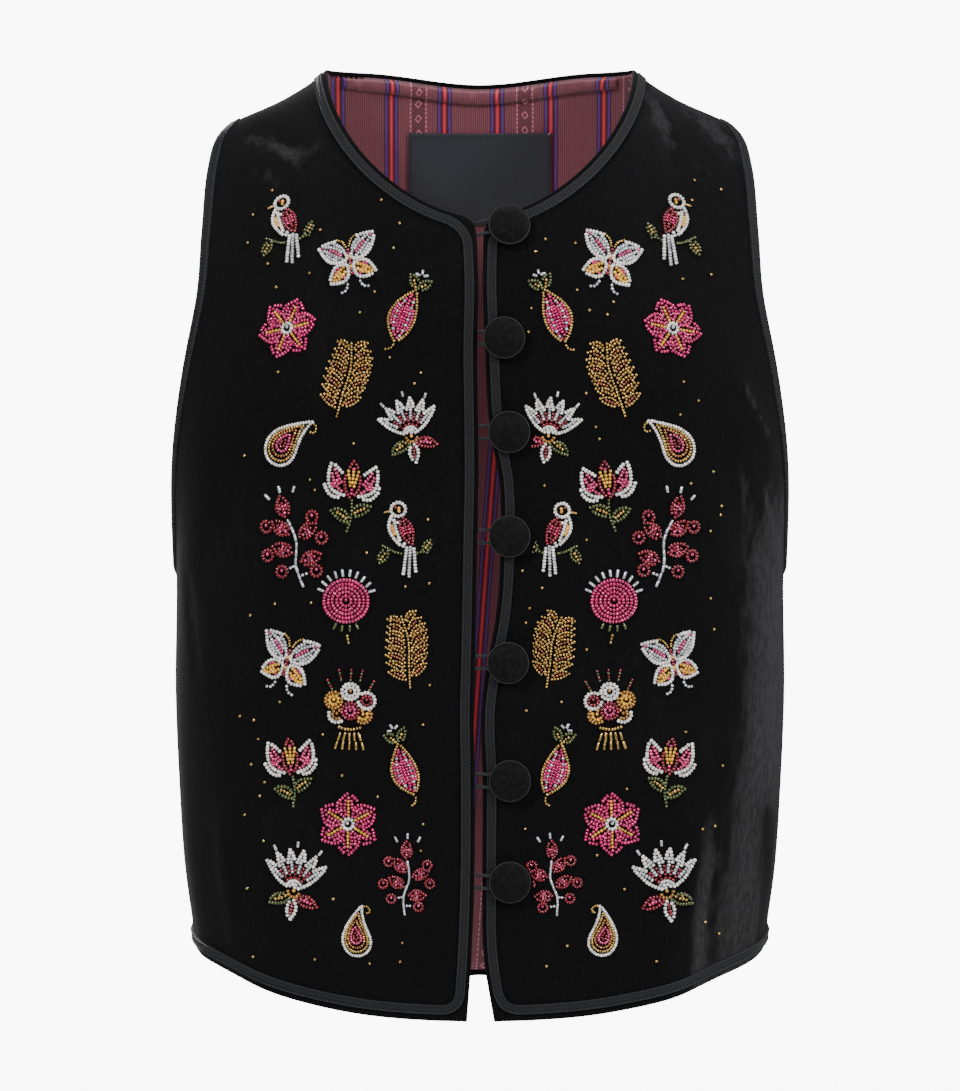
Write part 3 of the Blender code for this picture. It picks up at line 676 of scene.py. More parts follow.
def back_neck_height(across):
    """The height of the back-neck edge, seen from behind."""
    reach = np.minimum(np.abs(across) / BACK_NECK_DIP, 1.0)
    return -BACK_NECK_DEPTH * (1 + np.cos(reach * math.pi)) / 2


def coons_patch(bottom, top, left, right):
    """A grid of places between four lines that meet at their ends: [row, column, (arc, down)]."""
    v = np.linspace(0, 1, len(left))[:, None, None]
    u = np.linspace(0, 1, len(bottom))[None, :, None]
    across = (1 - u) * left[:, None] + u * right[:, None]
    upward = (1 - v) * bottom[None] + v * top[None]
    low = (1 - u) * bottom[0] + u * bottom[-1]
    high = (1 - u) * top[0] + u * top[-1]
    return across + upward - (1 - v) * low - v * high


def front_grid(side):
    """The cut shape of one front, from its centre edge and neck out to its side seam and armhole."""
    before, turn, after = rounded_corner(front_edge_line(side), front_neck_line(side), NECK_CORNER_REACH)
    head = resample(after, NECK_ROWS, ease=1.3)
    left = joined(resample(before, EDGE_ROWS), resample(turn, CORNER_ROWS), head)
    rows = EDGE_ROWS + CORNER_ROWS + NECK_ROWS
    seam = place_by_share(side, np.array([hem_at[FRONT](1.0), FRONT_ARMHOLE[0].height]))
    armhole = resample(armhole_line(FRONT, side), rows - SIDE_ROWS, ease=1.15)
    right = joined(resample(seam, SIDE_ROWS), armhole)
    bottom = resample(hem_line(FRONT, left[0][0] / QUARTER, side), FRONT_COLUMNS)
    tips = np.linspace(NECK_HALF_WIDTH, SHOULDER_TIP, FRONT_COLUMNS + 1)
    top = place_on_form(side * tips, shoulder_at(tips))
    for line, first, last in ((bottom, left[0], right[0]), (top, left[-1], right[-1])):
        line[0], line[-1] = first, last
    return coons_patch(bottom, top, left, right)


def back_grid():
    """The cut shape of the back in one piece, from side seam to side seam."""
    edges = {}
    for side in (-1, 1):
        seam = place_by_share(side, np.array([hem_at[BACK](1.0), BACK_ARMHOLE[0].height]))
        armhole = resample(armhole_line(BACK, side), BACK_ARMHOLE_ROWS, ease=1.4)
        edges[side] = joined(resample(seam, BACK_SIDE_ROWS), armhole)
    neck = np.linspace(0, NECK_HALF_WIDTH, BACK_NECK_COLUMNS + 1)
    shoulder = np.linspace(NECK_HALF_WIDTH, SHOULDER_TIP, BACK_SHOULDER_COLUMNS + 1)[1:]
    neck = place_on_form(neck, back_neck_height(neck))
    half = np.vstack([neck, place_on_form(shoulder, shoulder_at(shoulder))])
    top = np.vstack([half[:0:-1] * (-1, 1), half])
    bottom = resample(hem_line(BACK, -1, 1), len(top) - 1)
    for line, row in ((bottom, 0), (top, -1)):
        line[0], line[-1] = edges[-1][row], edges[1][row]
    return coons_patch(bottom, top, edges[-1], edges[1])


def drawn_in(points, side_inset, foot_inset, head_inset):
    """A sheet of points with its border rows and columns moved in along its own faces."""
    points = points.copy()
    for border, neighbour, inset in ((0, 1, foot_inset), (-1, -2, head_inset)):
        step = points[neighbour] - points[border]
        points[border] += step * inset / np.linalg.norm(step, axis=1)[:, None]
    for border, neighbour in ((0, 1), (-1, -2)):
        step = points[:, neighbour] - points[:, border]
        points[:, border] += step * side_inset / np.linalg.norm(step, axis=1)[:, None]
    return points


def group(name, inputs, outputs):
    """A new shader node group with float or colour sockets, and its input and output nodes."""
    tree = bpy.data.node_groups.new(name, "ShaderNodeTree")
    for socket, kind in inputs:
        tree.interface.new_socket(socket, in_out="INPUT", socket_type=kind)
    for socket, kind in outputs:
        tree.interface.new_socket(socket, in_out="OUTPUT", socket_type=kind)
    return tree, tree.nodes.new("NodeGroupInput"), tree.nodes.new("NodeGroupOutput")


def plug(tree, value, socket):
    """Puts a constant or another node's output into a socket."""
    if isinstance(value, bpy.types.NodeSocket):
        tree.links.new(value, socket)
    else:
        socket.default_value = value


def calc(tree, operation, *values):
    """One step of arithmetic on values or sockets."""
    node = tree.nodes.new("ShaderNodeMath")
    node.operation = operation
    for value, socket in zip(values, node.inputs):
        plug(tree, value, socket)
    return node.outputs[0]


def mixed(tree, factor, first, second):
    """A colour between two others."""
    node = tree.nodes.new("ShaderNodeMix")
    node.data_type = "RGBA"
    plug(tree, factor, node.inputs["Factor"])
    for value, name in ((first, "A"), (second, "B")):
        socket = [s for s in node.inputs if s.name == name and s.type == "RGBA"][0]
        plug(tree, value, socket)
    return [s for s in node.outputs if s.type == "RGBA"][0]


def noise(tree, vector, scale, detail=2.0):
    """The value of a noise texture."""
    node = tree.nodes.new("ShaderNodeTexNoise")
    node.inputs["Scale"].default_value = scale
    node.inputs["Detail"].default_value = detail
    tree.links.new(vector, node.inputs["Vector"])
    return node.outputs["Fac"]


def ramp(tree, value, low, high):
    """The value from 0 at low to 1 at high."""
    node = tree.nodes.new("ShaderNodeMapRange")
    node.interpolation_type = "SMOOTHSTEP"
    plug(tree, value, node.inputs["Value"])
    plug(tree, low, node.inputs["From Min"])
    plug(tree, high, node.inputs["From Max"])
    return node.outputs["Result"]


def bump(tree, height, distance, strength=1.0):
    """A normal from a height."""
    node = tree.nodes.new("ShaderNodeBump")
    node.inputs["Distance"].default_value = distance
    node.inputs["Strength"].default_value = strength
    tree.links.new(height, node.inputs["Height"])
    return node.outputs["Normal"]


def use_group(tree, name, **inputs):
    """A node that runs a shared group, with these inputs."""
    node = tree.nodes.new("ShaderNodeGroup")
    node.node_tree = bpy.data.node_groups[name]
    for socket, value in inputs.items():
        plug(tree, value, node.inputs[socket])
    return node.outputs


def line_mask_group():
    """1 on lines that repeat across a value, with soft edges: pitch, start and half width are in metres."""
    inputs = [(name, "NodeSocketFloat") for name in ("Value", "Pitch", "Start", "HalfWidth", "Soft")]
    outputs = [(name, "NodeSocketFloat") for name in ("Mask", "Away")]
    tree, given, out = group("RepeatedLine", inputs, outputs)
    moved = calc(tree, "SUBTRACT", given.outputs["Value"], given.outputs["Start"])
    turns = calc(tree, "DIVIDE", moved, given.outputs["Pitch"])
    turns = calc(tree, "ADD", turns, 0.5)
    share = calc(tree, "SUBTRACT", calc(tree, "FRACT", turns), 0.5)
    away = calc(tree, "MULTIPLY", calc(tree, "ABSOLUTE", share), given.outputs["Pitch"])
    edge = calc(tree, "ADD", given.outputs["HalfWidth"], given.outputs["Soft"])
    mask = calc(tree, "SUBTRACT", 1.0, ramp(tree, away, given.outputs["HalfWidth"], edge))
    tree.links.new(mask, out.inputs["Mask"])
    tree.links.new(away, out.inputs["Away"])


def pile_group():
    """Velvet pile: a fine height, and how light the painted sheen makes it, broken into streaks."""
    inputs = [("Place", "NodeSocketVector"), ("Nap", "NodeSocketFloat")]
    tree, given, out = group("Pile", inputs, [("Height", "NodeSocketFloat"), ("Light", "NodeSocketFloat")])
    place = given.outputs["Place"]
    fine = noise(tree, place, 1500.0, 2.0)
    tufts = noise(tree, place, 420.0, 3.0)
    height = calc(tree, "ADD", calc(tree, "MULTIPLY", fine, 0.6), calc(tree, "MULTIPLY", tufts, 0.4))
    long = tree.nodes.new("ShaderNodeMapping")
    long.inputs["Scale"].default_value = (1.0, 1.0, 0.32)
    tree.links.new(place, long.inputs["Vector"])
    streaks = ramp(tree, noise(tree, long.outputs["Vector"], 170.0, 4.0), 0.30, 0.68)
    wisps = ramp(tree, noise(tree, long.outputs["Vector"], 560.0, 3.0), 0.34, 0.66)
    broad = ramp(tree, noise(tree, place, 13.0, 3.0), 0.42, 0.78)
    nap = calc(tree, "MAXIMUM", given.outputs["Nap"], 0.0)
    torn = calc(tree, "ADD", nap, calc(tree, "MULTIPLY", calc(tree, "SUBTRACT", streaks, 0.5), 0.26))
    # Painted sheen: the pile made lighter where it catches the light, broken into streaks
    light = calc(tree, "MULTIPLY", ramp(tree, torn, 0.10, 0.44), calc(tree, "MULTIPLY_ADD", nap, 0.95, 0.16))
    light = calc(tree, "MULTIPLY", light, calc(tree, "MULTIPLY_ADD", wisps, 0.62, 0.62))
    light = calc(tree, "ADD", light, calc(tree, "MULTIPLY", calc(tree, "MULTIPLY", broad, streaks), 0.06))
    light = calc(tree, "MULTIPLY", light, calc(tree, "MULTIPLY_ADD", fine, 0.5, 0.75))
    light = calc(tree, "ADD", light, calc(tree, "MULTIPLY", ramp(tree, tufts, 0.38, 0.72), 0.05))
    tree.links.new(height, out.inputs["Height"])
    tree.links.new(light, out.inputs["Light"])


def new_material(name, colour, roughness, **constants):
    """A material with its Principled shader's constants set on the shader itself."""
    material = bpy.data.materials.new(name)
    material.use_nodes = True
    tree = material.node_tree
    shader = tree.nodes["Principled BSDF"]
    shader.inputs["Base Color"].default_value = (*colour, 1.0)
    shader.inputs["Roughness"].default_value = roughness
    for socket, value in constants.items():
        shader.inputs[socket.replace("_", " ")].default_value = value
    return material, tree, shader


def object_place(tree):
    """A point of the piece, in metres."""
    return tree.nodes.new("ShaderNodeTexCoord").outputs["Object"]


def uv_place(tree):
    """The two halves of the mesh's own UV: metres along and across the cloth."""
    node = tree.nodes.new("ShaderNodeUVMap")
    node.uv_map = "cloth"
    split = tree.nodes.new("ShaderNodeSeparateXYZ")
    tree.links.new(node.outputs["UV"], split.inputs["Vector"])
    return split.outputs["X"], split.outputs["Y"], node.outputs["UV"]


def velvet_material():
    """Black velvet, lighter where the mesh carries painted sheen."""
    colours = bpy.context.scene.waistcoat_colours
    material, tree, shader = new_material(
        "black_velvet",
        (0.002, 0.002, 0.002),
        0.95,
        Specular_IOR_Level=0.05,
        Sheen_Weight=0.05,
        Sheen_Roughness=0.5,
        Sheen_Tint=(0.85, 0.85, 0.90, 1.0),
    )
    nap = tree.nodes.new("ShaderNodeAttribute")
    nap.attribute_name = "nap"
    pile = use_group(tree, "Pile", Place=object_place(tree), Nap=nap.outputs["Fac"])
    # Painted sheen and shade mixed into the velvet's colour
    colour = mixed(tree, pile["Light"], (*colours.velvet, 1), (*colours.painted_sheen_colour, 1))
    tree.links.new(colour, shader.inputs["Base Color"])
    tree.links.new(bump(tree, pile["Height"], 0.0006, 0.4), shader.inputs["Normal"])
    return material


def lining_material():
    """Burgundy cloth with fine ribs painted lighter on top and darker between, edged stripes, and dashed
    columns round small diamonds.
    """
    colours = bpy.context.scene.waistcoat_colours
    material, tree, shader = new_material("striped_lining", (0.15, 0.04, 0.05), 0.55, Sheen_Weight=0.15)
    across, along, place = uv_place(tree)
    below = calc(tree, "MAXIMUM", calc(tree, "SUBTRACT", along, LINING_LEAN_FROM), 0.0)
    across = calc(tree, "MULTIPLY_ADD", below, LINING_LEAN, across)
    ribs = calc(tree, "SINE", calc(tree, "MULTIPLY", across, 2 * math.pi / RIB_PITCH))
    ribs = calc(tree, "ADD", calc(tree, "MULTIPLY", ribs, 0.5), 0.5)
    weave = noise(tree, place, 900.0, 2.0)
    # Painted light and shade across the ribs: their tops lighter and the grooves between them darker, as the
    # bump also shows
    tone = calc(tree, "ADD", calc(tree, "MULTIPLY", ribs, 0.7), calc(tree, "MULTIPLY", weave, 0.3))
    colour = mixed(tree, tone, (*colours.lining_ground, 1), (*colours.lining_rib, 1))

    def lines(value, pitch, start, half_width, soft=0.0002, output="Mask"):
        given = {"Value": value, "Pitch": pitch, "Start": start, "HalfWidth": half_width, "Soft": soft}
        return use_group(tree, "RepeatedLine", **given)[output]

    ticks = lines(along, TICK_PITCH, 0.0, 0.0003)
    violet = mixed(tree, ticks, (0.230, 0.075, 0.520, 1), (0.070, 0.014, 0.150, 1))
    # The stripe's bands by half width, each woven over the last
    for half_width, soft, band in (
        (0.0037, 0.0003, (0.060, 0.014, 0.022, 1)),
        (0.0032, 0.0002, violet),
        (0.0020, 0.0002, (0.045, 0.010, 0.030, 1)),
        (0.0010, 0.0002, (*colours.lining_stripe, 1)),
        (0.0003, 0.0003, (0.780, 0.060, 0.080, 1)),
    ):
        mask = lines(across, STRIPE_PITCH, STRIPE_START, half_width, soft)
        colour = mixed(tree, mask, colour, band)
    ground, outer, inner = (
        lines(across, FIGURE_PITCH, FIGURE_START, half_width, soft)
        for half_width, soft in ((0.0032, 0.0004), (0.0045, 0.0002), (0.0037, 0.0002))
    )
    colour = mixed(tree, calc(tree, "MULTIPLY", ground, 0.45), colour, (0.070, 0.016, 0.026, 1))
    dash = lines(along, DASH_PITCH, 0.0, 0.0008)
    dotted = calc(tree, "MULTIPLY", calc(tree, "SUBTRACT", outer, inner), dash)
    column = lines(across, FIGURE_PITCH, FIGURE_START, 0.001, 0.001, "Away")
    row = lines(along, DIAMOND_PITCH, DIAMOND_START, 0.001, 0.001, "Away")
    spread = calc(tree, "ADD", column, calc(tree, "MULTIPLY", row, 0.7))
    diamond = calc(tree, "COMPARE", spread, 0.0016, 0.00035)
    figure = calc(tree, "MAXIMUM", dotted, diamond)
    colour = mixed(tree, calc(tree, "MULTIPLY", figure, 0.9), colour, (0.640, 0.200, 0.290, 1))
    tree.links.new(colour, shader.inputs["Base Color"])
    tree.links.new(bump(tree, tone, 0.0004, 0.6), shader.inputs["Normal"])
    return material


def braid_material():
    """A slanting plait between two twisted edge cords, with painted highlight on its high threads and painted
    shade in its hollows.
    """
    colours = bpy.context.scene.waistcoat_colours
    material, tree, shader = new_material(
        "plaited_braid", (0.01, 0.01, 0.012), 0.60, Specular_IOR_Level=0.22, Sheen_Weight=0.02
    )
    across, along, place = uv_place(tree)
    away = calc(tree, "ABSOLUTE", across)
    slant = calc(tree, "ADD", along, calc(tree, "MULTIPLY", away, 1.2))
    plait = calc(tree, "SINE", calc(tree, "MULTIPLY", slant, 2 * math.pi / PLAIT_PITCH))
    twist = calc(tree, "SUBTRACT", along, calc(tree, "MULTIPLY", away, 0.9))
    cord = calc(tree, "SINE", calc(tree, "MULTIPLY", twist, 2 * math.pi / EDGE_CORD_PITCH))
    edge = ramp(tree, away, 0.0013, 0.0017)
    height = calc(tree, "ADD", plait, calc(tree, "MULTIPLY", edge, calc(tree, "SUBTRACT", cord, plait)))
    height = calc(tree, "ADD", calc(tree, "MULTIPLY", height, 0.5), 0.5)
    fuzz = ramp(tree, noise(tree, place, 1400.0, 2.0), 0.30, 0.70)
    # Painted light and shade: the higher the thread, and the nearer the edge cords, the lighter it is painted
    share = calc(tree, "MULTIPLY_ADD", edge, 0.78, 0.22)
    tone = calc(tree, "MULTIPLY", height, share)
    tone = calc(tree, "MULTIPLY", tone, calc(tree, "MULTIPLY_ADD", fuzz, 0.8, 0.5))
    colour = mixed(tree, tone, (0.0034, 0.0036, 0.0044, 1), (*colours.braid, 1))
    tree.links.new(colour, shader.inputs["Base Color"])
    tree.links.new(bump(tree, height, 0.0005, 0.8), shader.inputs["Normal"])
    return material


def button_material():
    """Black cloth, drawn tight and a little mottled."""
    material, tree, shader = new_material(
        "covered_button", (0.002, 0.002, 0.002), 0.85, Specular_IOR_Level=0.10, Sheen_Weight=0.04
    )
    place = object_place(tree)
    weave = noise(tree, place, 1900.0, 1.0)
    mottle = ramp(tree, noise(tree, place, 360.0, 3.0), 0.35, 0.70)
    tone = calc(tree, "MULTIPLY", weave, calc(tree, "MULTIPLY_ADD", mottle, 1.1, 0.45))
    colour = mixed(tree, tone, (0.0010, 0.0010, 0.0012, 1), (0.0078, 0.0078, 0.0086, 1))
    tree.links.new(colour, shader.inputs["Base Color"])
    tree.links.new(bump(tree, weave, 0.0004, 0.7), shader.inputs["Normal"])
    return material


def plain_material(name, colour, roughness, scale, depth, contrast=0.4, **constants):
    """A plain cloth or thread finish with a fine uneven surface."""
    material, tree, shader = new_material(name, colour, roughness, **constants)
    grain = noise(tree, object_place(tree), scale, 2.0)
    darker = (*(c * (1 - contrast) for c in colour), 1)
    lighter = (*(c * (1 + contrast) for c in colour), 1)
    tree.links.new(mixed(tree, grain, darker, lighter), shader.inputs["Base Color"])
    tree.links.new(bump(tree, grain, depth, 0.6), shader.inputs["Normal"])
    return material


def bead_material(name, roughness, **constants):
    """A bead finish whose colour comes from each bead."""
    material, tree, shader = new_material(name, (0.5, 0.5, 0.5), roughness, **constants)
    paint = tree.nodes.new("ShaderNodeVertexColor")
    paint.layer_name = "bead_colour"
    tree.links.new(paint.outputs["Color"], shader.inputs["Base Color"])
    return material


def material(name):
    """A finish by its name, made the first time that it is asked for."""
    if name not in bpy.data.materials:
        MATERIALS[name]()
    return bpy.data.materials[name]


MATERIALS = {
    "black_velvet": velvet_material,
    "striped_lining": lining_material,
    "plaited_braid": braid_material,
    "covered_button": button_material,
    "button_lip": lambda: plain_material("button_lip", (0.0044, 0.0044, 0.0050), 0.7, 1500.0, 0.0003),
    "loop_cord": lambda: plain_material("loop_cord", (0.014, 0.014, 0.016), 0.6, 2200.0, 0.0002),
    "opaque_bead": lambda: bead_material("opaque_bead", 0.20, Specular_IOR_Level=0.6, Coat_Weight=0.6),
    "glass_bead": lambda: bead_material(
        "glass_bead", 0.15, Metallic=0.50, Coat_Weight=1.0, Coat_Roughness=0.04
    ),
    "metal_bead": lambda: bead_material("metal_bead", 0.24, Metallic=1.0),
    "bare_label": lambda: plain_material(
        "bare_label", bpy.context.scene.waistcoat_colours.label, 0.7, 1700.0, 0.0003
    ),
    "label_thread": lambda: plain_material("label_thread", (0.006, 0.006, 0.008), 0.6, 2000.0, 0.0001),
    "pale_thread": lambda: plain_material("pale_thread", (0.45, 0.42, 0.40), 0.6, 2000.0, 0.0001),
    "pale_floor": lambda: plain_material("pale_floor", (0.66, 0.66, 0.66), 0.8, 60.0, 0.0001, 0.03),
}


def show(obj, nodes=()):
    """Links a finished piece, lets it ride on the body, and hides the CAD parts that it stands for."""
    bpy.context.scene.collection.objects.link(obj)
    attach(obj, BODY)
    if nodes:
        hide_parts(*nodes)
    return obj


def shape_object(shape, name, *finishes, smooth=True):
    """A modelled shape as an object with its finishes."""
    mesh = bpy.data.meshes.new(name)
    shape.to_mesh(mesh)
    shape.free()
    if smooth:
        mesh.shade_smooth()
    for finish in finishes:
        mesh.materials.append(material(finish))
    return bpy.data.objects.new(name, mesh)


def round_edges(shape, edges, offset, segments):
    """Bevels some edges of a shape."""
    bmesh.ops.bevel(
        shape,
        geom=edges,
        offset=offset,
        offset_type="OFFSET",
        affect="EDGES",
        segments=segments,
        profile=0.5,
        material=-1,
    )


def wall_object(name, outer, inner, places, finishes, rim=0.0):
    """A closed wall between two grids of points, with its own UV, the inner face in the second finish."""
    rows, columns = outer.shape[:2]
    shell = bmesh.new()
    uv = shell.loops.layers.uv.new("cloth")
    for points, index in ((outer, 0), (inner, len(finishes) - 1)):
        made = bmesh.ops.create_grid(shell, x_segments=columns - 1, y_segments=rows - 1, size=1.0)["verts"]
        flat_places = places.reshape(-1, 2)
        for vertex, point, place in zip(made, points.reshape(-1, 3), flat_places):
            vertex.co = point
            for loop in vertex.link_loops:
                loop[uv].uv = place
        for face in {face for vertex in made for face in vertex.link_faces}:
            face.material_index = index
    rims = [edge for edge in shell.edges if edge.is_boundary]
    bridge = bmesh.ops.bridge_loops(shell, edges=rims)
    for face in bridge["faces"]:
        face.material_index = 0
    bmesh.ops.recalc_face_normals(shell, faces=shell.faces)
    if rim:
        round_edges(shell, rims, rim, 2)
    return shape_object(shell, name, *finishes)


def paint_sheen(piece, part, grid):
    """Writes the painted sheen and shade of the pile on each point of both sheets of a velvet piece."""
    base = form_points(part, grid[..., 0], grid[..., 1])
    # Painted sheen and shade, summed from the strokes
    light = stroke_field(PAINTED_SHEEN, part, grid[..., 0], base[..., 2]).ravel()
    mesh = piece.data
    nap = mesh.attributes.new("nap", "FLOAT", "POINT")
    points = np.zeros(len(mesh.vertices) * 3)
    mesh.vertices.foreach_get("co", points)
    tree = KDTree(grid.size // 2)
    for index, point in enumerate(cloth_points(part, grid).reshape(-1, 3)):
        tree.insert(point, index)
    tree.balance()
    nearest = [tree.find(point)[1] for point in points.reshape(-1, 3)]
    nap.data.foreach_set("value", np.clip(light[nearest], -1, 1))


def add_velvet():
    """The two fronts and the back: velvet outside, lining inside the fronts."""
    for side, word in SIDES:
        grid = front_grid(side)
        sheets = [cloth_points(FRONT, grid, out) for out in (0.0, -FRONT_WALL)]
        finishes = ("black_velvet", "striped_lining")
        piece = wall_object(f"velvet_front_{word}", *sheets, grid, finishes, FRONT_RIM)
        paint_sheen(piece, FRONT, grid)
        show(piece, [f"front_{word}"])
    grid = back_grid()
    sheets = [cloth_points(BACK, grid, out) for out in (0.0, -BACK_WALL)]
    piece = wall_object("velvet_back", *sheets, grid, ("black_velvet", "black_velvet"), BACK_RIM)
    paint_sheen(piece, BACK, grid)
    show(piece, ["back"])


def add_lining():
    """The back lining, the turned band along the neck, and the bare label."""
    grid = back_grid()
    lining_out = -BACK_WALL - LINING_GAP
    lining_in = lining_out - LINING_WALL
    sheets = [
        drawn_in(cloth_points(BACK, grid, out), LINING_EDGE, LINING_HEM, LINING_EDGE)
        for out in (lining_out, lining_in)
    ]
    piece = wall_object("lining_back", *sheets, grid, ("striped_lining",))
    show(piece, ["back_lining"])

    inside = lining_in - INSIDE_GAP
    reach = NECK_HALF_WIDTH - 2 * LINING_EDGE
    across = np.linspace(-reach, reach, 241)
    top = place_on_form(across, back_neck_height(across))
    falls = NECK_FOLD_TOP + NECK_FOLD_HEIGHT * np.linspace(1, 0, 9)
    places = np.stack([top + (0.0, fall) for fall in falls])
    rng = np.random.default_rng(SEED)
    pucker = np.zeros(len(across))
    for centre in np.cumsum(rng.uniform(*PUCKER_SPACING, PUCKERS)) - reach:
        pucker += rng.uniform(0.2, 1.0) * np.exp(-(((across - centre) / PUCKER_WIDTH) ** 2))
    body = np.sin(np.linspace(0, math.pi, len(falls)))[:, None]
    lift = BAND_BULGE * body + PUCKER_DEPTH * body * pucker[None]
    outer = cloth_points(BACK, places, inside)
    inner = cloth_points(BACK, places, inside - LINING_WALL - lift)
    piece = wall_object("neck_band", outer, inner, places, ("striped_lining",))
    show(piece, ["lining_neck_fold"])

    x = np.linspace(-LABEL_WIDTH / 2, LABEL_WIDTH / 2, 41)
    z = np.linspace(LABEL_FOOT, LABEL_TOP, 27)
    places = place_on_form(*np.meshgrid(x, z))
    sheets = [cloth_points(BACK, places, out) for out in (inside, inside - LINING_WALL)]
    piece = wall_object("label_bare", *sheets, places, ("bare_label",), LABEL_RIM)
    show(piece, ["neck_label"])
    add_label_sewing(inside - LINING_WALL - STITCH_RADIUS / 2)


def add_stitches(name, finish, ends):
    """Short straight stitches, each a closed rod between its two ends."""
    shape = bmesh.new()
    for start, end in ends:
        run = Vector(end) - Vector(start)
        turn = run.to_track_quat("Z", "Y").to_matrix().to_4x4()
        turn.translation = (Vector(start) + Vector(end)) / 2
        size = {"radius1": STITCH_RADIUS, "radius2": STITCH_RADIUS, "depth": run.length}
        bmesh.ops.create_cone(shape, cap_ends=True, segments=6, matrix=turn, **size)
    show(shape_object(shape, name, finish, smooth=False))


def add_label_sewing(out):
    """Dark stitches along the label's edges and one pale stitch at a top corner."""

    def stitch(x, z, run, rise):
        across = np.array((x - run / 2, x + run / 2))
        height = np.array((z - rise / 2, z + rise / 2))
        return cloth_points(BACK, place_on_form(across, height), out)

    half, edge = LABEL_WIDTH / 2, STITCH_MARGIN
    top = LABEL_TOP - edge
    stitches = [stitch(x, top, STITCH_LENGTH, 0.0) for x in np.arange(edge - half, half - edge, STITCH_PITCH)]
    for x in (edge - half, half - edge):
        stitches += [stitch(x, z, 0.0, STITCH_LENGTH) for z in np.arange(top, LABEL_FOOT, -STITCH_PITCH)]
    add_stitches("label_stitches", "label_thread", stitches)
    corner = stitch(half - edge, LABEL_TOP, STITCH_LENGTH * 0.6, STITCH_LENGTH)
    add_stitches("label_corner_stitch", "pale_thread", [corner])


def braid_line(stretches):
    """Evenly spaced places of a braid's middle over (part, line) stretches."""
    runs = []
    for part, line in stretches:
        length = line_length(cloth_points(part, line))
        count = max(round(length[-1] / BRAID_STEP), 2)
        at = np.linspace(0, length[-1], count + 1)
        places = np.stack([np.interp(at, length, line[:, i]) for i in range(2)], axis=1)
        runs.append((part, places))
    return runs


def add_braid(name, stretches, node):
    """A plaited braid along a line: two raised edge cords and a plait, pressed flat where it meets a seam."""
    runs = braid_line(stretches)
    centre = np.vstack([cloth_points(part, places) for part, places in runs])
    normal = np.vstack([frame_on_form(part, places)[2] for part, places in runs])
    side = unit(np.cross(normal, np.gradient(centre, axis=0)))
    share = np.array([point.share for point in BRAID_PROFILE]) * BRAID_WIDTH / 2
    height = np.array([point.height for point in BRAID_PROFILE])
    inner, outer = [], []
    for part, places in runs:
        moves, side = np.split(side, [len(places)])
        moves = moves[:, None] * share[None, :, None]
        spread = walk(part, np.repeat(places[:, None], len(share), axis=1), moves, 1.0)
        run = line_length(cloth_points(part, places))
        near = np.clip(np.minimum(run, run[-1] - run) / PRESSED_REACH, 0, 1)
        press = BRAID_PRESSED + (1 - BRAID_PRESSED) * near**2 * (3 - 2 * near)
        inner.append(cloth_points(part, spread, -TRIM_SINK))
        outer.append(cloth_points(part, spread, TRIM_GAP + height[None] * press[:, None]))
    inner, outer = np.vstack(inner), np.vstack(outer)
    along = np.broadcast_to(line_length(centre)[:, None], outer.shape[:2])
    places = np.stack([np.broadcast_to(share, outer.shape[:2]), along], -1)
    piece = wall_object(name, outer, inner, places, ("plaited_braid",))
    return show(piece, [node])


def add_braids():
    """Braid along the neck, the centre edges, the hem and both armholes."""
    reach = EDGE_MARGIN + BRAID_WIDTH / 2
    rise = HEM_MARGIN + BRAID_WIDTH / 2
    for side, word in SIDES:
        edge = front_edge_line(side, reach)
        neck = front_neck_line(side, reach)
        edge = edge[edge[:, 1] > neck[0][1]]
        neck = neck[np.abs(neck[:, 0]) > abs(edge[-1][0])]
        hem_down = place_by_share(0.0, hem_at[FRONT](0.0) + rise)[1]
        edge = edge[edge[:, 1] < hem_down]
        hem = hem_line(FRONT, edge[0][0] / QUARTER, side, rise)
        hem_part, hem_turn, edge_part = rounded_corner(hem[::-1], edge, HEM_CORNER_REACH)
        edge_part, neck_turn, neck_part = rounded_corner(edge_part, neck, NECK_CORNER_REACH)
        line = joined(hem_part, hem_turn, edge_part, neck_turn, neck_part)
        add_braid(f"plait_front_{word}", [(FRONT, line)], f"braid_front_{word}")
        inset = ARMHOLE_MARGIN + BRAID_WIDTH / 2
        front, back = (met_at_seam(armhole_line(part, side, inset), side) for part in (FRONT, BACK))
        stretches = [(FRONT, front[:-1]), (BACK, back[::-1])]
        add_braid(f"plait_armhole_{word}", stretches, f"braid_armhole_{word}")
    outer_reach = NECK_HALF_WIDTH + reach
    across = np.linspace(-outer_reach, outer_reach, 241)
    share = across / outer_reach
    inside = share * NECK_HALF_WIDTH
    edge_down = place_on_form(inside, back_neck_height(inside))[:, 1]
    arc = place_on_form(across, shoulder_at(np.abs(across)))[:, 0]
    rounding = (1 - np.abs(share)) ** NECK_BRAID_ROUNDING
    neck = np.stack([arc, edge_down + reach * rounding], axis=1)
    add_braid("plait_back_neck", [(BACK, neck)], "braid_back_neck")
    hem = hem_line(BACK, -1, 1, rise)
    add_braid("plait_back_hem", [(BACK, hem)], "braid_back_hem")


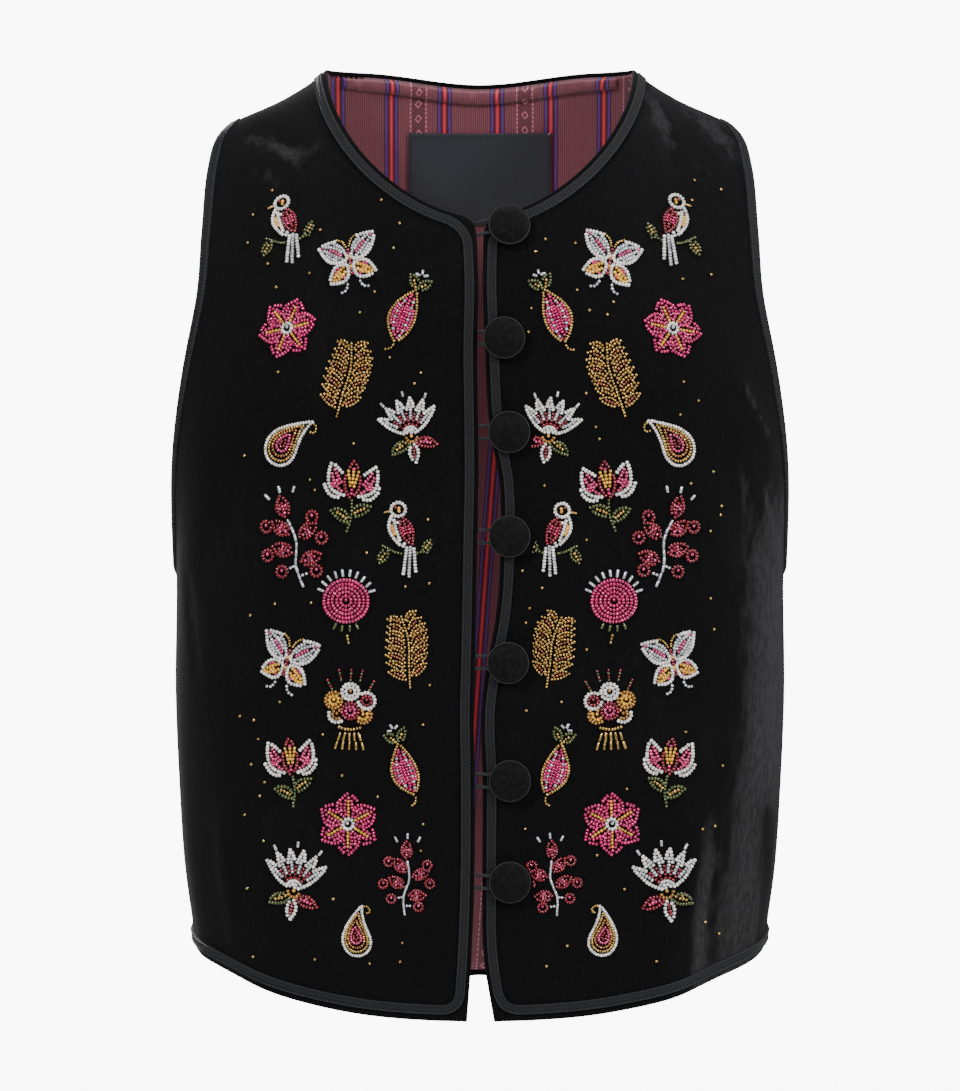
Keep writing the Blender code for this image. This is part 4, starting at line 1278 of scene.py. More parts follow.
def add_button(number, place):
    """A cloth-covered dome with a rolled lip, on a shank, turned about the cloth's normal."""
    base = TRIM_GAP + BRAID_HEIGHT if place.on_braid else SEAM_GAP
    at = place_on_form(place.across, place.height)
    normal = frame_on_form(FRONT, at)[2]
    rim = SHANK_TOP - base + BUTTON_RIM
    dome = [math.radians(angle) for angle in np.linspace(0, 80, 12)]
    profile = [(BUTTON_RADIUS * DOME_SHARE * math.sin(a), rim + BUTTON_DOME * math.cos(a)) for a in dome]
    profile += [(BUTTON_RADIUS * share, rim + height) for share, height in BUTTON_LIP]
    profile += [(BUTTON_RADIUS * BACK_SHARE, SHANK_TOP - base), (SHANK_RADIUS, SHANK_TOP - base)]
    profile += [(SHANK_RADIUS, 0.0), (0.0, 0.0)]
    shape = bmesh.new()
    verts = [shape.verts.new((x, 0.0, z)) for x, z in profile]
    edges = [shape.edges.new(pair) for pair in zip(verts, verts[1:])]
    circle = {"cent": (0, 0, 0), "axis": (0, 0, 1), "angle": 2 * math.pi}
    bmesh.ops.spin(shape, geom=verts + edges, steps=BUTTON_SIDES, use_merge=True, **circle)
    bmesh.ops.remove_doubles(shape, verts=shape.verts, dist=0.00001)
    for face in shape.faces:
        middle = face.calc_center_median()
        on_lip = math.hypot(middle.x, middle.y) > BUTTON_RADIUS * LIP_START and middle.z > rim + LIP_FOOT
        face.material_index = int(on_lip)
    bmesh.ops.recalc_face_normals(shape, faces=shape.faces)
    turn = Vector(normal).to_track_quat("Z", "Y").to_matrix().to_4x4()
    turn.translation = Vector(cloth_points(FRONT, at, base))
    bmesh.ops.transform(shape, matrix=turn, verts=shape.verts)
    piece = shape_object(shape, f"covered_button_{number}", "covered_button", "button_lip")
    show(piece, [f"button_{number}"])


def add_loop(number, place):
    """A doubled cord loop, each strand two plies twisted together, round the button's shank."""
    turn_radius = SHANK_RADIUS + SEAM_GAP + CORD_RADIUS
    under = TRIM_GAP + BRAID_HEIGHT + SEAM_GAP + CORD_RADIUS
    start = front_edge_at[-1](place.height) + TRIM_GAP
    far_edge = front_edge_at[1](place.height)
    strand = [
        (start, -FRONT_WALL / 2),
        (start + LOOP_LEAD, -FRONT_WALL / 2 + 0.0004),
        (far_edge - LOOP_LEAD, CORD_RADIUS + 0.0005),
        (far_edge + 0.0008, under),
        ((far_edge + place.across) / 2 + LOOP_LEAD, under),
    ]
    angles = np.linspace(-math.pi / 2, math.pi / 2, 6)
    turn = [(place.across + turn_radius * math.cos(a), turn_radius * math.sin(a), under) for a in angles]
    lower = [(x, -turn_radius, out) for x, out in strand]
    upper = [(x, turn_radius, out) for x, out in reversed(strand)]
    x, rise, out = np.array(lower + turn + upper).T
    points = cloth_points(FRONT, place_on_form(x, place.height + rise), out)
    route = resample(smooth_route(points, 200), 110)
    ahead = unit(np.gradient(route, axis=0))
    side = unit(np.cross(ahead, (0.0, -1.0, 0.0)))
    up = np.cross(side, ahead)
    length = line_length(route)
    curve = bpy.data.curves.new(f"cord_loop_{number}", "CURVE")
    curve.dimensions = "3D"
    curve.bevel_depth = PLY_RADIUS
    curve.bevel_resolution = 1
    curve.use_fill_caps = True
    for phase in (0.0, math.pi):
        spin = phase + length / TWIST_PITCH * 2 * math.pi
        offset = side * np.cos(spin)[:, None] + up * np.sin(spin)[:, None]
        spline = curve.splines.new("POLY")
        spline.points.add(len(route) - 1)
        for point, position in zip(spline.points, route + offset * PLY_RADIUS * 0.9):
            point.co = (*position, 1.0)
    curve.materials.append(material("loop_cord"))
    show(bpy.data.objects.new(curve.name, curve), [f"loop_{number}"])


class Drawing:
    """The beads of one motif, in millimetres round its middle. A bead that has no room is left out."""

    def __init__(self):
        self.beads = []
        self.taken = np.zeros((0, 3))

    def bead(self, x, y, colour, angle=0.0, length=SEED_LENGTH, width=SEED_WIDTH):
        """One bead, its hole along the angle in radians, unless another lies too close."""
        reach = max(length - width, 0.0) / 2
        ends = np.linspace(-reach, reach, 3 if reach else 1)
        spots = np.stack([x + ends * math.cos(angle), y + ends * math.sin(angle)], axis=1)
        radius = width / 2
        if len(self.taken):
            gaps = np.linalg.norm(spots[:, None] - self.taken[None, :, :2], axis=2)
            if (gaps < BEAD_CLEARANCE * (radius + self.taken[None, :, 2])).any():
                return
        self.taken = np.vstack([self.taken, np.column_stack([spots, np.full(len(spots), radius)])])
        self.beads.append((colour, x, y, angle, length, width))

    def row(self, points, colours, width=SEED_WIDTH, length=SEED_LENGTH):
        """Beads threaded along a line, their colours in turn."""
        colours = (colours,) if isinstance(colours, str) else colours
        points = np.asarray(points, float)
        run = line_length(points)
        count = max(int(run[-1] / (length * ROW_SPACING)), 1)
        at = (np.arange(count) + 0.5) * run[-1] / count
        x, y = (np.interp(at, run, points[:, i]) for i in range(2))
        ahead = np.stack([np.interp(at + 0.3, run, points[:, i]) for i in range(2)], axis=1)
        behind = np.stack([np.interp(at - 0.3, run, points[:, i]) for i in range(2)], axis=1)
        angles = np.arctan2(*(ahead - behind).T[::-1])
        for number, (px, py, angle) in enumerate(zip(x, y, angles)):
            self.bead(px, py, colours[number % len(colours)], angle, length, width)

    def bugles(self, points, colour, length=4.2):
        """Long tube beads end to end along a line."""
        self.row(points, colour, BUGLE_WIDTH, length)

    def petal(self, x, y, angle, length, breadth, rings, bend=0.0, width=SEED_WIDTH):
        """A leaf shape from its root, filled by rows from its edge in to its middle."""
        angle = math.radians(angle)
        t = np.linspace(0, 1, 48)
        along = np.array((math.cos(angle), math.sin(angle)))
        aside = np.array((-math.sin(angle), math.cos(angle)))
        count = max(math.ceil(breadth / RING_PITCH / width - RING_SLACK), 1)
        for number in range(count + 1):
            for sign in (1, -1) if number < count else (0,):
                share = sign * (1 - number / count)
                across = share * breadth / 2 * np.sin(math.pi * t**0.85) + bend * np.sin(math.pi * t)
                line = np.array((x, y)) + np.outer(t * length, along) + np.outer(across, aside)
                self.row(line, rings[min(number, len(rings) - 1)], width)

    def disc(self, x, y, radius_x, radius_y, rings, width=SEED_WIDTH):
        """A filled round of bead rings, from the rim in."""
        count = max(int(min(radius_x, radius_y) / width), 1)
        turn = np.linspace(0, 2 * math.pi, 60)
        for number in range(count + 1):
            share = 1 - number / (count + 0.3)
            out_x, out_y = radius_x * share * np.cos(turn), radius_y * share * np.sin(turn)
            line = np.stack([x + out_x, y + out_y], axis=1)
            self.row(line, rings[min(number, len(rings) - 1)], width)
        self.bead(x, y, rings[-1] if isinstance(rings[-1], str) else rings[-1][0])

    def rays(self, x, y, start, length, angles, colour, width=BUGLE_WIDTH):
        """Tube beads that stand out round a middle."""
        for angle in np.radians(angles):
            far = start + length / 2
            self.bead(x + far * math.cos(angle), y + far * math.sin(angle), colour, angle, length, width)


# Each of these sets the beads of one motif, in millimetres round its middle
def draw_six_petal(d):
    for angle in range(0, 360, 60):
        a = math.radians(angle)
        middle = [(r * math.cos(a), r * math.sin(a)) for r in (3.4, 12.0)]
        d.row(middle, "yellow", 1.5)
    d.disc(0, 0, 2.6, 2.6, ("pearl", "clear"))
    for angle in range(0, 360, 60):
        a = math.radians(angle)
        rings = ("fuchsia", ("fuchsia", "rose"), "fuchsia")
        d.petal(2.6 * math.cos(a), 2.6 * math.sin(a), angle, 13.0, 11.5, rings)
    d.rays(0, 0, 8.0, 3.6, (30, 150, 270), "olive")


def draw_tulip(d):
    d.row(smooth_route([(0.5, -4.0), (1.2, -12.0), (-0.5, -20.0)], 20), "olive", 1.6)
    for lean in (-2.6, 0.0, 2.6):
        d.row([(lean * 0.3, 1.0), (lean, 9.5)], "yellow", 1.5)
    d.petal(0, -4.0, 90, 18, 7.5, ("red", "red", "fuchsia"))
    d.petal(-1.2, -3.0, 122, 18, 8.5, ("pearl", "fuchsia", "rose"), 1.6)
    d.petal(1.2, -3.0, 58, 18, 8.5, ("pearl", "fuchsia", "rose"), -1.6)
    d.petal(-2.4, -2.4, 158, 12, 5.5, ("pearl", "rose"), 0.8)
    d.petal(2.4, -2.4, 22, 12, 5.5, ("pearl", "rose"), -0.8)
    d.petal(0.8, -12.0, 28, 11, 4.6, ("olive", "gold"), 0.8)
    d.petal(0.4, -15.0, 152, 11, 4.6, ("olive", "gold"), -0.8)


def draw_butterfly(d):
    d.row([(0, -7.5), (0, 7.0)], ("red", "red", "yellow"), 2.1, 1.6)
    for side in (1, -1):
        d.row(smooth_route([(0.6 * side, 7.5), (2.4 * side, 11.5), (5.6 * side, 13.5)], 16), "gold", 1.4, 1.2)
        d.petal(1.6 * side, 1.0, 90 - side * 50, 17.5, 11, ("pearl", "clear", "clear", "rose"), side * 1.2)
        d.petal(1.6 * side, -1.6, 90 - side * 124, 13.0, 9, ("pearl", "fuchsia", "yellow"), -side * 0.8)
        d.row(smooth_route([(3.0 * side, -11.0), (4.6 * side, -14.5), (7.8 * side, -15.5)], 12), "clear", 1.6)


def draw_paisley(d):
    turn = np.linspace(0.12, 2 * math.pi - 0.12, 90)
    rings = ((1.0, "pearl"), (0.79, "gold"), (0.58, ("copper", "gold")), (0.36, "rose"), (0.16, "red"))
    for share, colours in rings:
        x = 10.5 * share * np.sin(turn) * np.sin(turn / 2) ** 1.2
        y = 13.5 * share * np.cos(turn) - 2.5 * (1 - share)
        lean = 0.034 * np.clip(y + 3.0, 0, None) ** 2
        d.row(np.stack([x + lean, y], axis=1), colours, 1.65, 1.35)
    d.row(smooth_route([(8.0, 12.5), (11.5, 11.8), (12.2, 8.6), (9.6, 8.2)], 24), "gold", 1.5, 1.3)


def draw_songbird(d):
    d.rays(-6.0, 11.5, 4.6, 3.4, (196,), "gold")
    d.bead(-7.4, 12.6, "red")
    d.petal(-3.6, 7.5, -64, 16, 6.5, ("red", "fuchsia", "red"))
    for start, end, colour in (
        ((0.6, -7.5), (0.2, -23.0), "pearl"),
        ((2.4, -7.0), (3.4, -24.0), "clear"),
        ((4.0, -6.0), (6.8, -21.0), "pearl"),
    ):
        d.row([start, end], colour)
    d.disc(-6.0, 11.5, 3.9, 3.7, ("pearl", "yellow"))
    d.petal(-8.2, 9.5, -70, 19, 10.5, ("pearl", "yellow", "pearl"), 0.8)
    d.row(smooth_route([(-13.0, -8.0), (-4.0, -11.5), (-1.4, -11.8)], 20), "olive", 1.6)
    d.row(smooth_route([(5.6, -11.0), (9.0, -9.5), (12.6, -9.8)], 20), "olive", 1.6)
    d.petal(-9.5, -10.0, -118, 9.0, 4.4, ("olive", "gold"))
    d.petal(9.5, -9.2, 60, 8.0, 4.0, ("olive", "gold"))


def draw_berry_sprig(d):
    stem = smooth_route([(3.0, -21.0), (0.5, -10.0), (2.0, 2.0), (-1.0, 13.0)], 40)
    d.bugles(stem, "clear", 3.6)
    leaves = ((-1.0, 14.0, 100), (3.0, 3.0, 30), (1.0, -3.0, 158), (2.0, -9.0, 12), (0.5, 6.0, 140))
    for x, y, angle in leaves:
        d.petal(x + 1.2 * math.cos(math.radians(angle)), y, angle, 11.5, 6.2, ("red", ("red", "rose")), 0.6)
    for x, y in ((-12.5, 10.5), (11.5, 12.5), (15.0, 1.5), (-13.5, -3.5), (-7.0, -12.0), (10.5, -14.0)):
        d.disc(x, y, 2.7, 2.7, ("red", "rose"))
    twigs = (((0.0, -10.0), (-5.0, -11.5)), ((2.5, -15.0), (8.0, -14.2)), ((5.0, 8.0), (9.5, 11.0)))
    for start, end in twigs:
        d.row([start, end], "clear", 1.5)
    d.rays(-1.0, 14.0, 12.5, 3.4, (70, 100, 130), "clear")


def draw_fan_flower(d):
    for angle in (48, 69, 90, 111, 132):
        a = math.radians(angle)
        d.row([(4.5 * math.cos(a), -5 + 4.5 * math.sin(a)), (12 * math.cos(a), -5 + 12 * math.sin(a))], "red")
    for angle in (38, 58.5, 79.5, 100.5, 121.5, 142):
        d.petal(0, -5.0, angle, 20, 4.6, ("pearl", "clear"))
    d.disc(0, -6.5, 3.0, 2.8, ("amber", "yellow"))
    d.petal(-1.6, -9.5, 200, 12, 5.0, ("olive", "gold"), -0.8)
    d.petal(1.6, -9.5, -20, 12, 5.0, ("red", "rose"), 0.8)
    d.petal(0, -10.0, -96, 11, 4.6, ("pearl", "red"))
    d.rays(0, -5.0, 20.5, 3.0, (58, 90, 122), "clear")


def draw_pompon(d):
    d.disc(0, 0, 10.8, 10.2, (("fuchsia", "rose"), ("fuchsia",), ("rose", "fuchsia"), "fuchsia"))
    d.rays(0, 0, 11.8, 3.6, range(22, 160, 15), "clear")
    d.rays(0, 0, 11.8, 3.2, (246, 262, 278, 294), "olive")
    d.row([(0.5, -16.0), (1.5, -21.0)], "gold", 1.5)


def draw_fern(d):
    stem = smooth_route([(-2.0, -20.0), (-0.5, -8.0), (1.5, 6.0), (0.0, 19.0)], 50)
    d.row(stem, "gold", 1.6)
    for number, share in enumerate(np.linspace(0.16, 0.90, 8)):
        x, y = stem[int(share * (len(stem) - 1))]
        reach = 12.5 * math.sin(math.pi * (0.22 + 0.66 * share)) ** 0.7
        for side in (1, -1):
            colours = ("gold", ("gold", "amber")) if number % 2 else ("gold", "copper")
            d.petal(x + 1.4 * side, y + 0.4 * side, 90 - side * 58, reach, 3.7, colours, side * 0.7, 1.55)


def draw_pod(d):
    d.petal(0, -17, 90, 30, 14, ("gold", ("fuchsia", "rose"), ("clear", "fuchsia"), "fuchsia"), 1.6)
    for side in (1, -1):
        d.petal(0.8 * side, 13, 90 - side * 38, 9, 4.2, ("olive", "gold"), side * 0.6)
    d.row([(0.0, 13.8), (-0.4, 19.0)], "gold", 1.5)
    d.rays(-0.4, 20.5, 1.0, 2.6, range(30, 390, 72), "clear")
    d.row(smooth_route([(0.0, -18.0), (-1.0, -21.0), (-4.0, -22.5)], 12), "gold", 1.5)


def draw_posy(d):
    for x, y, rings in (
        (0.0, 9.0, ("pearl", "pearl", "amber")),
        (-8.2, 4.6, ("amber", "yellow")),
        (8.2, 4.8, ("pearl", "red")),
        (0.2, -0.6, ("red", "rose")),
        (-6.4, -2.4, ("pearl", "amber")),
        (6.6, -2.4, ("amber", "yellow")),
    ):
        d.disc(x, y, 4.2, 4.0, rings)
    for x, angle in ((-9.0, 118), (-4.5, 104), (0.0, 88), (4.5, 76), (9.0, 62)):
        a = math.radians(angle)
        start = 9.5 if abs(x) > 6 else 14.0
        d.row([(x, start), (x + 6.5 * math.cos(a), start + 6.5 * math.sin(a))], ("olive", "red"), 1.5)
    d.row(smooth_route([(-6.0, -8.6), (0.0, -9.8), (6.0, -8.6)], 16), "gold", 1.9)
    for x in (-4.4, -2.2, 0.0, 2.2, 4.4):
        d.bugles([(x, -11.2), (x * 1.7, -20.0)], "gold", 4.2)


DRAWINGS = {
    "six_petal": draw_six_petal,
    "tulip": draw_tulip,
    "butterfly": draw_butterfly,
    "paisley": draw_paisley,
    "songbird": draw_songbird,
    "berry_sprig": draw_berry_sprig,
    "fan_flower": draw_fan_flower,
    "pompon": draw_pompon,
    "fern": draw_fern,
    "pod": draw_pod,
    "posy": draw_posy,
}


def bead_template(rounding):
    """The points and faces of one small barrel of size 1, its hole along X."""
    shape = bmesh.new()
    bmesh.ops.create_cone(shape, cap_ends=True, segments=BEAD_SIDES, radius1=0.5, radius2=0.5, depth=1.0)
    caps = [edge for edge in shape.edges if abs(edge.verts[0].co.z - edge.verts[1].co.z) < 0.01]
    round_edges(shape, caps, rounding, 1)
    bmesh.ops.rotate(shape, verts=shape.verts, matrix=Matrix.Rotation(math.pi / 2, 3, "Y"))
    points = np.array([vertex.co[:] for vertex in shape.verts])
    faces = [[vertex.index for vertex in face.verts] for face in shape.faces]
    shape.free()
    return points, faces


def on_open_front(x, z):
    """Whether a place lies clear of the neck's and the armhole's braid, seen from in front."""
    wide, deep = NECK_HALF_WIDTH + TRIM_REACH, FRONT_NECK_DEPTH + TRIM_REACH
    past_neck = (x / wide) ** FRONT_NECK_ROUNDNESS + (-z / deep) ** FRONT_NECK_ROUNDNESS > 1
    armhole_share = np.interp(z, *zip(*((row.height, row.share) for row in FRONT_ARMHOLE)))
    reach = place_on_form(x, z)[0] / QUARTER
    below_armhole = z < FRONT_ARMHOLE[0].height - TRIM_REACH
    return past_neck and (below_armhole or reach < armhole_share - TRIM_REACH / QUARTER)


def front_beads(side, rng):
    """Every bead of one front: (colour, its place, the direction of its hole, length, width), in metres."""
    found = []
    for motif in MOTIFS:
        d = Drawing()
        DRAWINGS[motif.draw](d)
        centre = place_on_form(-side * motif.x / 1000, motif.z / 1000)
        by_arc, by_down, normal = frame_on_form(FRONT, centre)
        rise = unit(np.array((0.0, 0.0, 1.0)) - normal * normal[2])
        right = unit(np.cross(rise, normal)) * -side
        turn = math.radians(motif.turn + rng.uniform(-MOTIF_TURN, MOTIF_TURN))
        scale = MOTIF_SCALE * motif.size * rng.uniform(*MOTIF_SIZES) / 1000
        colours, x, y, angle, length, width = zip(*d.beads)
        x, y = np.array(x), np.array(y)
        x, y = x * math.cos(turn) - y * math.sin(turn), x * math.sin(turn) + y * math.cos(turn)
        x, y = (value + rng.normal(0, BEAD_JITTER, len(x)) for value in (x, y))
        angle = np.array(angle) + turn + rng.normal(0, BEAD_JITTER, len(x))
        moves = (right * x[:, None] + rise * y[:, None]) * scale
        places = walk(FRONT, np.tile(centre, (len(x), 1)), moves, 1.0)
        ahead = right * np.cos(angle)[:, None] + rise * np.sin(angle)[:, None]
        size = rng.uniform(*BEAD_SIZES, len(x)) * (MOTIF_SCALE * motif.size) ** 0.7 / 1000
        found += zip(colours, places, ahead, np.array(length) * size, np.array(width) * size)
    taken = [bead[1] for bead in found]
    full = len(found) + SINGLE_BEADS
    while len(found) < full:
        x, z = rng.uniform(*SINGLE_ACROSS), rng.uniform(*SINGLE_HEIGHT)
        place = place_on_form(side * x, z)
        near = np.linalg.norm(np.array(taken) - place, axis=1).min() < SINGLE_SPACING
        if near or not on_open_front(x, z):
            continue
        taken.append(place)
        angle = rng.uniform(0, math.pi)
        ahead = np.array((math.cos(angle), 0.0, math.sin(angle)))
        found.append(("gold", place, ahead, SINGLE_LENGTH, SINGLE_WIDTH))
    return found


def clear_of_trim(side, beads):
    """The beads that lie on open velvet: none under a button or on the braid."""
    kept = []
    buttons = [place_on_form(place.across, place.height) for place in BUTTONS]
    for bead in beads:
        place = bead[1]
        point = form_points(FRONT, *place)
        edge = abs(point[0] - front_edge_at[side](point[2]))
        near = min(np.linalg.norm(place - button) for button in buttons) if side == 1 else 1.0
        if edge > EDGE_REACH and near > BUTTON_REACH:
            kept.append(bead)
    return kept


def add_beadwork():
    """The beaded motifs of both fronts, each bead a glass, pearl or metal barrel or tube."""
    seed, bugle = bead_template(SEED_ROUNDING), bead_template(BUGLE_ROUNDING)
    for side, word in SIDES:
        rng = np.random.default_rng(SEED + side)
        beads = clear_of_trim(side, front_beads(side, rng))
        _, places, along, length, width = zip(*beads)
        places, along = np.array(places), np.array(along)
        length, width = np.array(length)[:, None], np.array(width)[:, None]
        normal = frame_on_form(FRONT, places)[2]
        along = unit(along - normal * (along * normal).sum(-1, keepdims=True))
        aside = np.cross(normal, along)
        centre = cloth_points(FRONT, places) + normal * width * BEAD_RISE
        points, faces, tints, slots = [], [], [], []
        count = 0
        for number, bead in enumerate(beads):
            base, base_faces = bugle if bead[3] > TUBE_SHARE * bead[4] else seed
            local = base * (length[number, 0], width[number, 0], width[number, 0] * BEAD_FLATNESS)
            points.append(centre[number] + local @ np.stack([along[number], aside[number], normal[number]]))
            faces += [[index + count for index in face] for face in base_faces]
            finish, colour = BEAD_COLOURS[bead[0]]
            tint = np.array(colour) * rng.uniform(*BEAD_TINTS)
            tints.append(np.tile((*np.minimum(tint, 0.95), 1.0), (len(base), 1)))
            slots += [BEAD_FINISHES.index(finish)] * len(base_faces)
            count += len(base)
        mesh = bpy.data.meshes.new(f"beadwork_{word}")
        mesh.from_pydata(np.vstack(points).tolist(), [], faces)
        mesh.polygons.foreach_set("material_index", slots)
        paint = mesh.color_attributes.new("bead_colour", "FLOAT_COLOR", "POINT")
        paint.data.foreach_set("color", np.vstack(tints).ravel())
        mesh.shade_smooth()
        mesh.set_sharp_from_angle(angle=math.radians(60))
        for finish in BEAD_FINISHES:
            mesh.materials.append(material(finish))
        show(bpy.data.objects.new(mesh.name, mesh))


def add_stage(settings):
    """A pale floor below the hem, soft lights, and the camera where the photo was taken from."""
    disc = bmesh.new()
    bmesh.ops.create_circle(disc, cap_ends=True, radius=FLOOR_RADIUS, segments=96)
    bmesh.ops.translate(disc, verts=disc.verts, vec=(0.0, 0.0, settings.floor_height))
    floor = shape_object(disc, "floor", "pale_floor", smooth=False)
    bpy.context.scene.collection.objects.link(floor)

    scene = bpy.context.scene
    world = scene.world or bpy.data.worlds.new("studio")
    scene.world = world
    world.use_nodes = True
    tree = world.node_tree
    background = tree.nodes["Background"]
    background.inputs["Color"].default_value = (1.0, 1.0, 1.0, 1.0)
    seen = tree.nodes.new("ShaderNodeLightPath").outputs["Is Camera Ray"]
    strength = calc(tree, "ADD", settings.studio_light, calc(tree, "MULTIPLY", seen, settings.backdrop))
    tree.links.new(strength, background.inputs["Strength"])
    for name, place, power, size in LIGHTS:
        lamp = bpy.data.lights.new(name, "AREA")
        lamp.energy = power
        lamp.size = size
        light = bpy.data.objects.new(name, lamp)
        light.location = place
        aim = Vector(LIGHT_AIM) - light.location
        light.rotation_euler = aim.to_track_quat("-Z", "Y").to_euler()
        scene.collection.objects.link(light)
    lens = bpy.data.cameras.new("photo_camera")
    lens.sensor_width = SENSOR_WIDTH
    lens.lens = settings.lens
    camera = bpy.data.objects.new("photo_camera", lens)
    camera.location = (settings.aim_across, -settings.distance, settings.aim_height)
    camera.rotation_euler = (math.pi / 2, 0.0, 0.0)
    scene.collection.objects.link(camera)
    scene.camera = camera


FLOOR_RADIUS = 0.80
SENSOR_WIDTH = 36.0
LIGHT_AIM = (0.0, 0.0, -0.25)
LIGHTS = table(
    "name place power size",
    ("key_left", (-1.5, -2.6, 1.3), 53.0, 0.45),
    ("fill_right", (1.8, -2.2, 0.7), 37.0, 0.60),
    ("front", (0.0, -3.4, -0.05), 16.0, 0.40),
    ("side_right", (2.4, 0.2, 0.3), 16.0, 1.0),
    ("top", (0.0, -0.4, 2.0), 20.0, 1.0),
    ("behind", (-1.3, 2.6, 0.9), 60.0, 0.80),
)


class WaistcoatColours(bpy.types.PropertyGroup):
    """The main colours of the cloths and the braid."""

    velvet: bpy.props.FloatVectorProperty(
        name="Velvet",
        description="The pile where it lies dark",
        default=(0.0031, 0.0030, 0.0034),
        subtype="COLOR",
    )
    # Painted sheen: the colour of the pile where it catches the light
    painted_sheen_colour: bpy.props.FloatVectorProperty(
        name="Brushed velvet",
        description="The pile where it is brushed against its lie",
        default=(0.0325, 0.0320, 0.0338),
        subtype="COLOR",
    )
    # These two are painted shade between the ribs and painted highlight on their tops
    lining_ground: bpy.props.FloatVectorProperty(
        name="Lining",
        description="The lining between its ribs",
        default=(0.090, 0.022, 0.034),
        subtype="COLOR",
    )
    lining_rib: bpy.props.FloatVectorProperty(
        name="Lining rib",
        description="The top of each rib of the lining",
        default=(0.300, 0.085, 0.110),
        subtype="COLOR",
    )
    lining_stripe: bpy.props.FloatVectorProperty(
        name="Lining stripe",
        description="The red band in the middle of each stripe",
        default=(0.420, 0.010, 0.024),
        subtype="COLOR",
    )
    # Painted highlight: the colour of the braid's high threads where they catch the light
    braid: bpy.props.FloatVectorProperty(
        name="Braid",
        description="The high threads of the braid",
        default=(0.0400, 0.0415, 0.0460),
        subtype="COLOR",
    )
    label: bpy.props.FloatVectorProperty(
        name="Label",
        description="The bare label below the back neck",
        default=(0.026, 0.028, 0.037),
        subtype="COLOR",
    )


class WaistcoatStageSettings(bpy.types.PropertyGroup):
    """Where the camera and the floor stand."""

    distance: bpy.props.FloatProperty(
        name="Camera distance",
        description="How far the camera stands in front of the shoulders",
        default=3.5,
        subtype="DISTANCE",
        unit="LENGTH",
    )
    aim_height: bpy.props.FloatProperty(
        name="Aim height",
        description="Height of the camera and of the middle of the picture",
        default=-0.257,
        subtype="DISTANCE",
        unit="LENGTH",
    )
    aim_across: bpy.props.FloatProperty(
        name="Aim across",
        description="How far the camera stands to the wearer's left",
        default=0.0,
        subtype="DISTANCE",
        unit="LENGTH",
    )
    lens: bpy.props.FloatProperty(
        name="Lens",
        description="Focal length on a 36 mm sensor",
        default=213.9,
        subtype="DISTANCE_CAMERA",
        unit="CAMERA",
    )
    studio_light: bpy.props.FloatProperty(
        name="Studio light",
        description="Strength of the even light from all round",
        default=0.48,
        subtype="FACTOR",
        unit="NONE",
    )
    backdrop: bpy.props.FloatProperty(
        name="Backdrop",
        description="How much brighter the camera sees the backdrop than it lights the scene",
        default=9.0,
        subtype="FACTOR",
        unit="NONE",
    )
    floor_height: bpy.props.FloatProperty(
        name="Floor height",
        description="Height of the floor below the hem",
        default=-0.62,
        subtype="DISTANCE",
        unit="LENGTH",
    )


class WAISTCOAT_OT_velvet(bpy.types.Operator):
    """Make the velvet fronts and back"""

    bl_idname = "waistcoat.velvet"
    bl_label = "Velvet pieces"

    def execute(self, context):
        add_velvet()
        return {"FINISHED"}


class WAISTCOAT_OT_lining(bpy.types.Operator):
    """Make the back lining, its neck band and the bare label"""

    bl_idname = "waistcoat.lining"
    bl_label = "Lining and label"

    def execute(self, context):
        add_lining()
        return {"FINISHED"}


class WAISTCOAT_OT_braids(bpy.types.Operator):
    """Make the plaited braids along the edges"""

    bl_idname = "waistcoat.braids"
    bl_label = "Braids"

    def execute(self, context):
        add_braids()
        return {"FINISHED"}


class WAISTCOAT_OT_buttons(bpy.types.Operator):
    """Make the covered buttons and their cord loops"""

    bl_idname = "waistcoat.buttons"
    bl_label = "Buttons and loops"

    def execute(self, context):
        for number, place in enumerate(BUTTONS, start=1):
            add_button(number, place)
            add_loop(number, place)
        return {"FINISHED"}


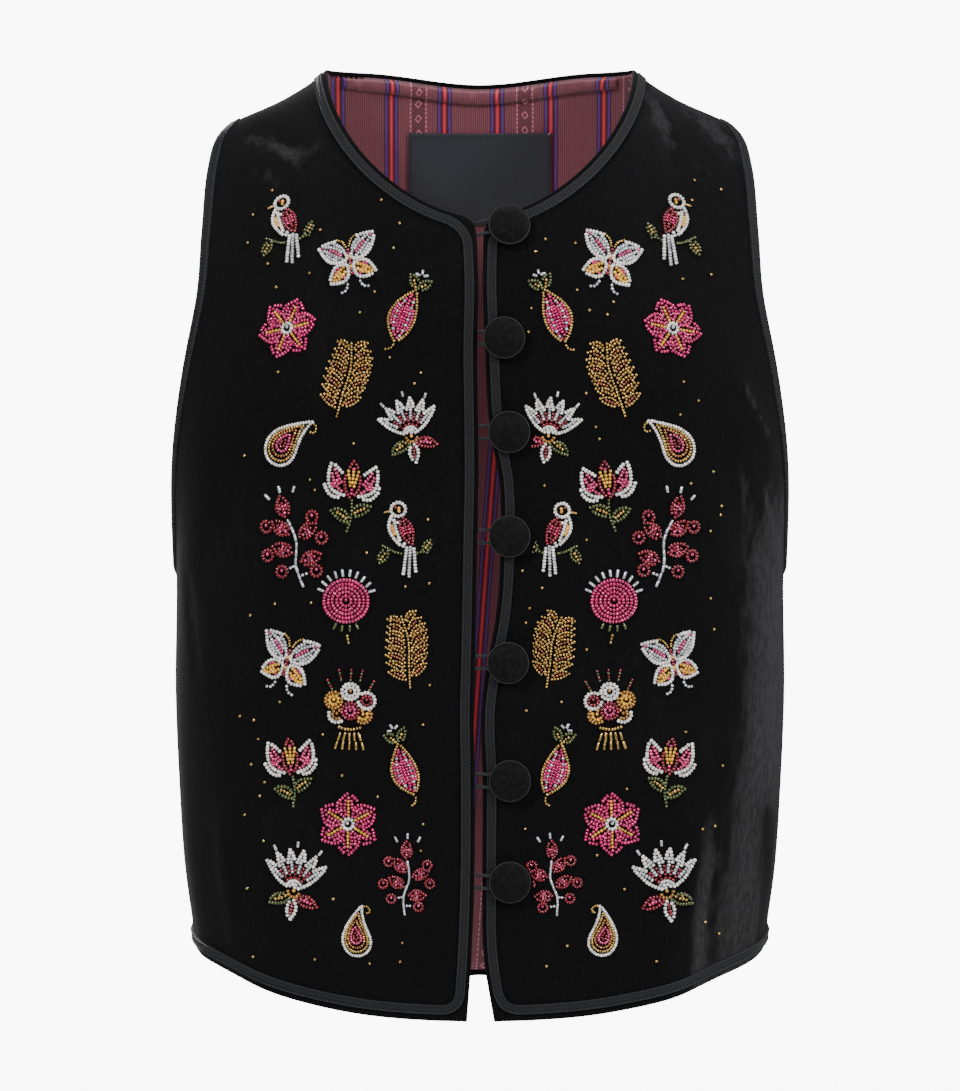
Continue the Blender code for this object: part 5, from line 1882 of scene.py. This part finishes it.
class WAISTCOAT_OT_beadwork(bpy.types.Operator):
    """Make the beaded motifs and the single gold beads of both fronts"""

    bl_idname = "waistcoat.beadwork"
    bl_label = "Beadwork"

    def execute(self, context):
        add_beadwork()
        return {"FINISHED"}


class WAISTCOAT_OT_stage(bpy.types.Operator):
    """Set the floor, the lights and the camera"""

    bl_idname = "waistcoat.stage"
    bl_label = "Stage"

    def execute(self, context):
        add_stage(context.scene.waistcoat_stage)
        return {"FINISHED"}


class WAISTCOAT_PT_panel(bpy.types.Panel):
    """Buttons that make each group of pieces"""

    bl_label = "Waistcoat"
    bl_idname = "WAISTCOAT_PT_panel"
    bl_space_type = "VIEW_3D"
    bl_region_type = "UI"
    bl_category = "Waistcoat"

    def draw(self, context):
        for operator in OPERATORS:
            self.layout.operator(operator.bl_idname)
        scene = context.scene
        for settings in (scene.waistcoat_colours, scene.waistcoat_stage):
            for name in type(settings).__annotations__:
                self.layout.prop(settings, name)


OPERATORS = (
    WAISTCOAT_OT_velvet,
    WAISTCOAT_OT_lining,
    WAISTCOAT_OT_braids,
    WAISTCOAT_OT_buttons,
    WAISTCOAT_OT_beadwork,
    WAISTCOAT_OT_stage,
)
CLASSES = (WaistcoatColours, WaistcoatStageSettings, *OPERATORS, WAISTCOAT_PT_panel)


def register():
    for cls in CLASSES:
        bpy.utils.register_class(cls)
    bpy.types.Scene.waistcoat_colours = bpy.props.PointerProperty(type=WaistcoatColours)
    bpy.types.Scene.waistcoat_stage = bpy.props.PointerProperty(type=WaistcoatStageSettings)


def unregister():
    del bpy.types.Scene.waistcoat_stage
    del bpy.types.Scene.waistcoat_colours
    for cls in reversed(CLASSES):
        bpy.utils.unregister_class(cls)


def main():
    """Makes every piece in order."""
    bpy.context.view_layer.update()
    register()
    line_mask_group()
    pile_group()
    bpy.ops.waistcoat.velvet()
    bpy.ops.waistcoat.lining()
    bpy.ops.waistcoat.braids()
    bpy.ops.waistcoat.buttons()
    bpy.ops.waistcoat.beadwork()
    bpy.ops.waistcoat.stage()


if __name__ == "__main__":
    main()
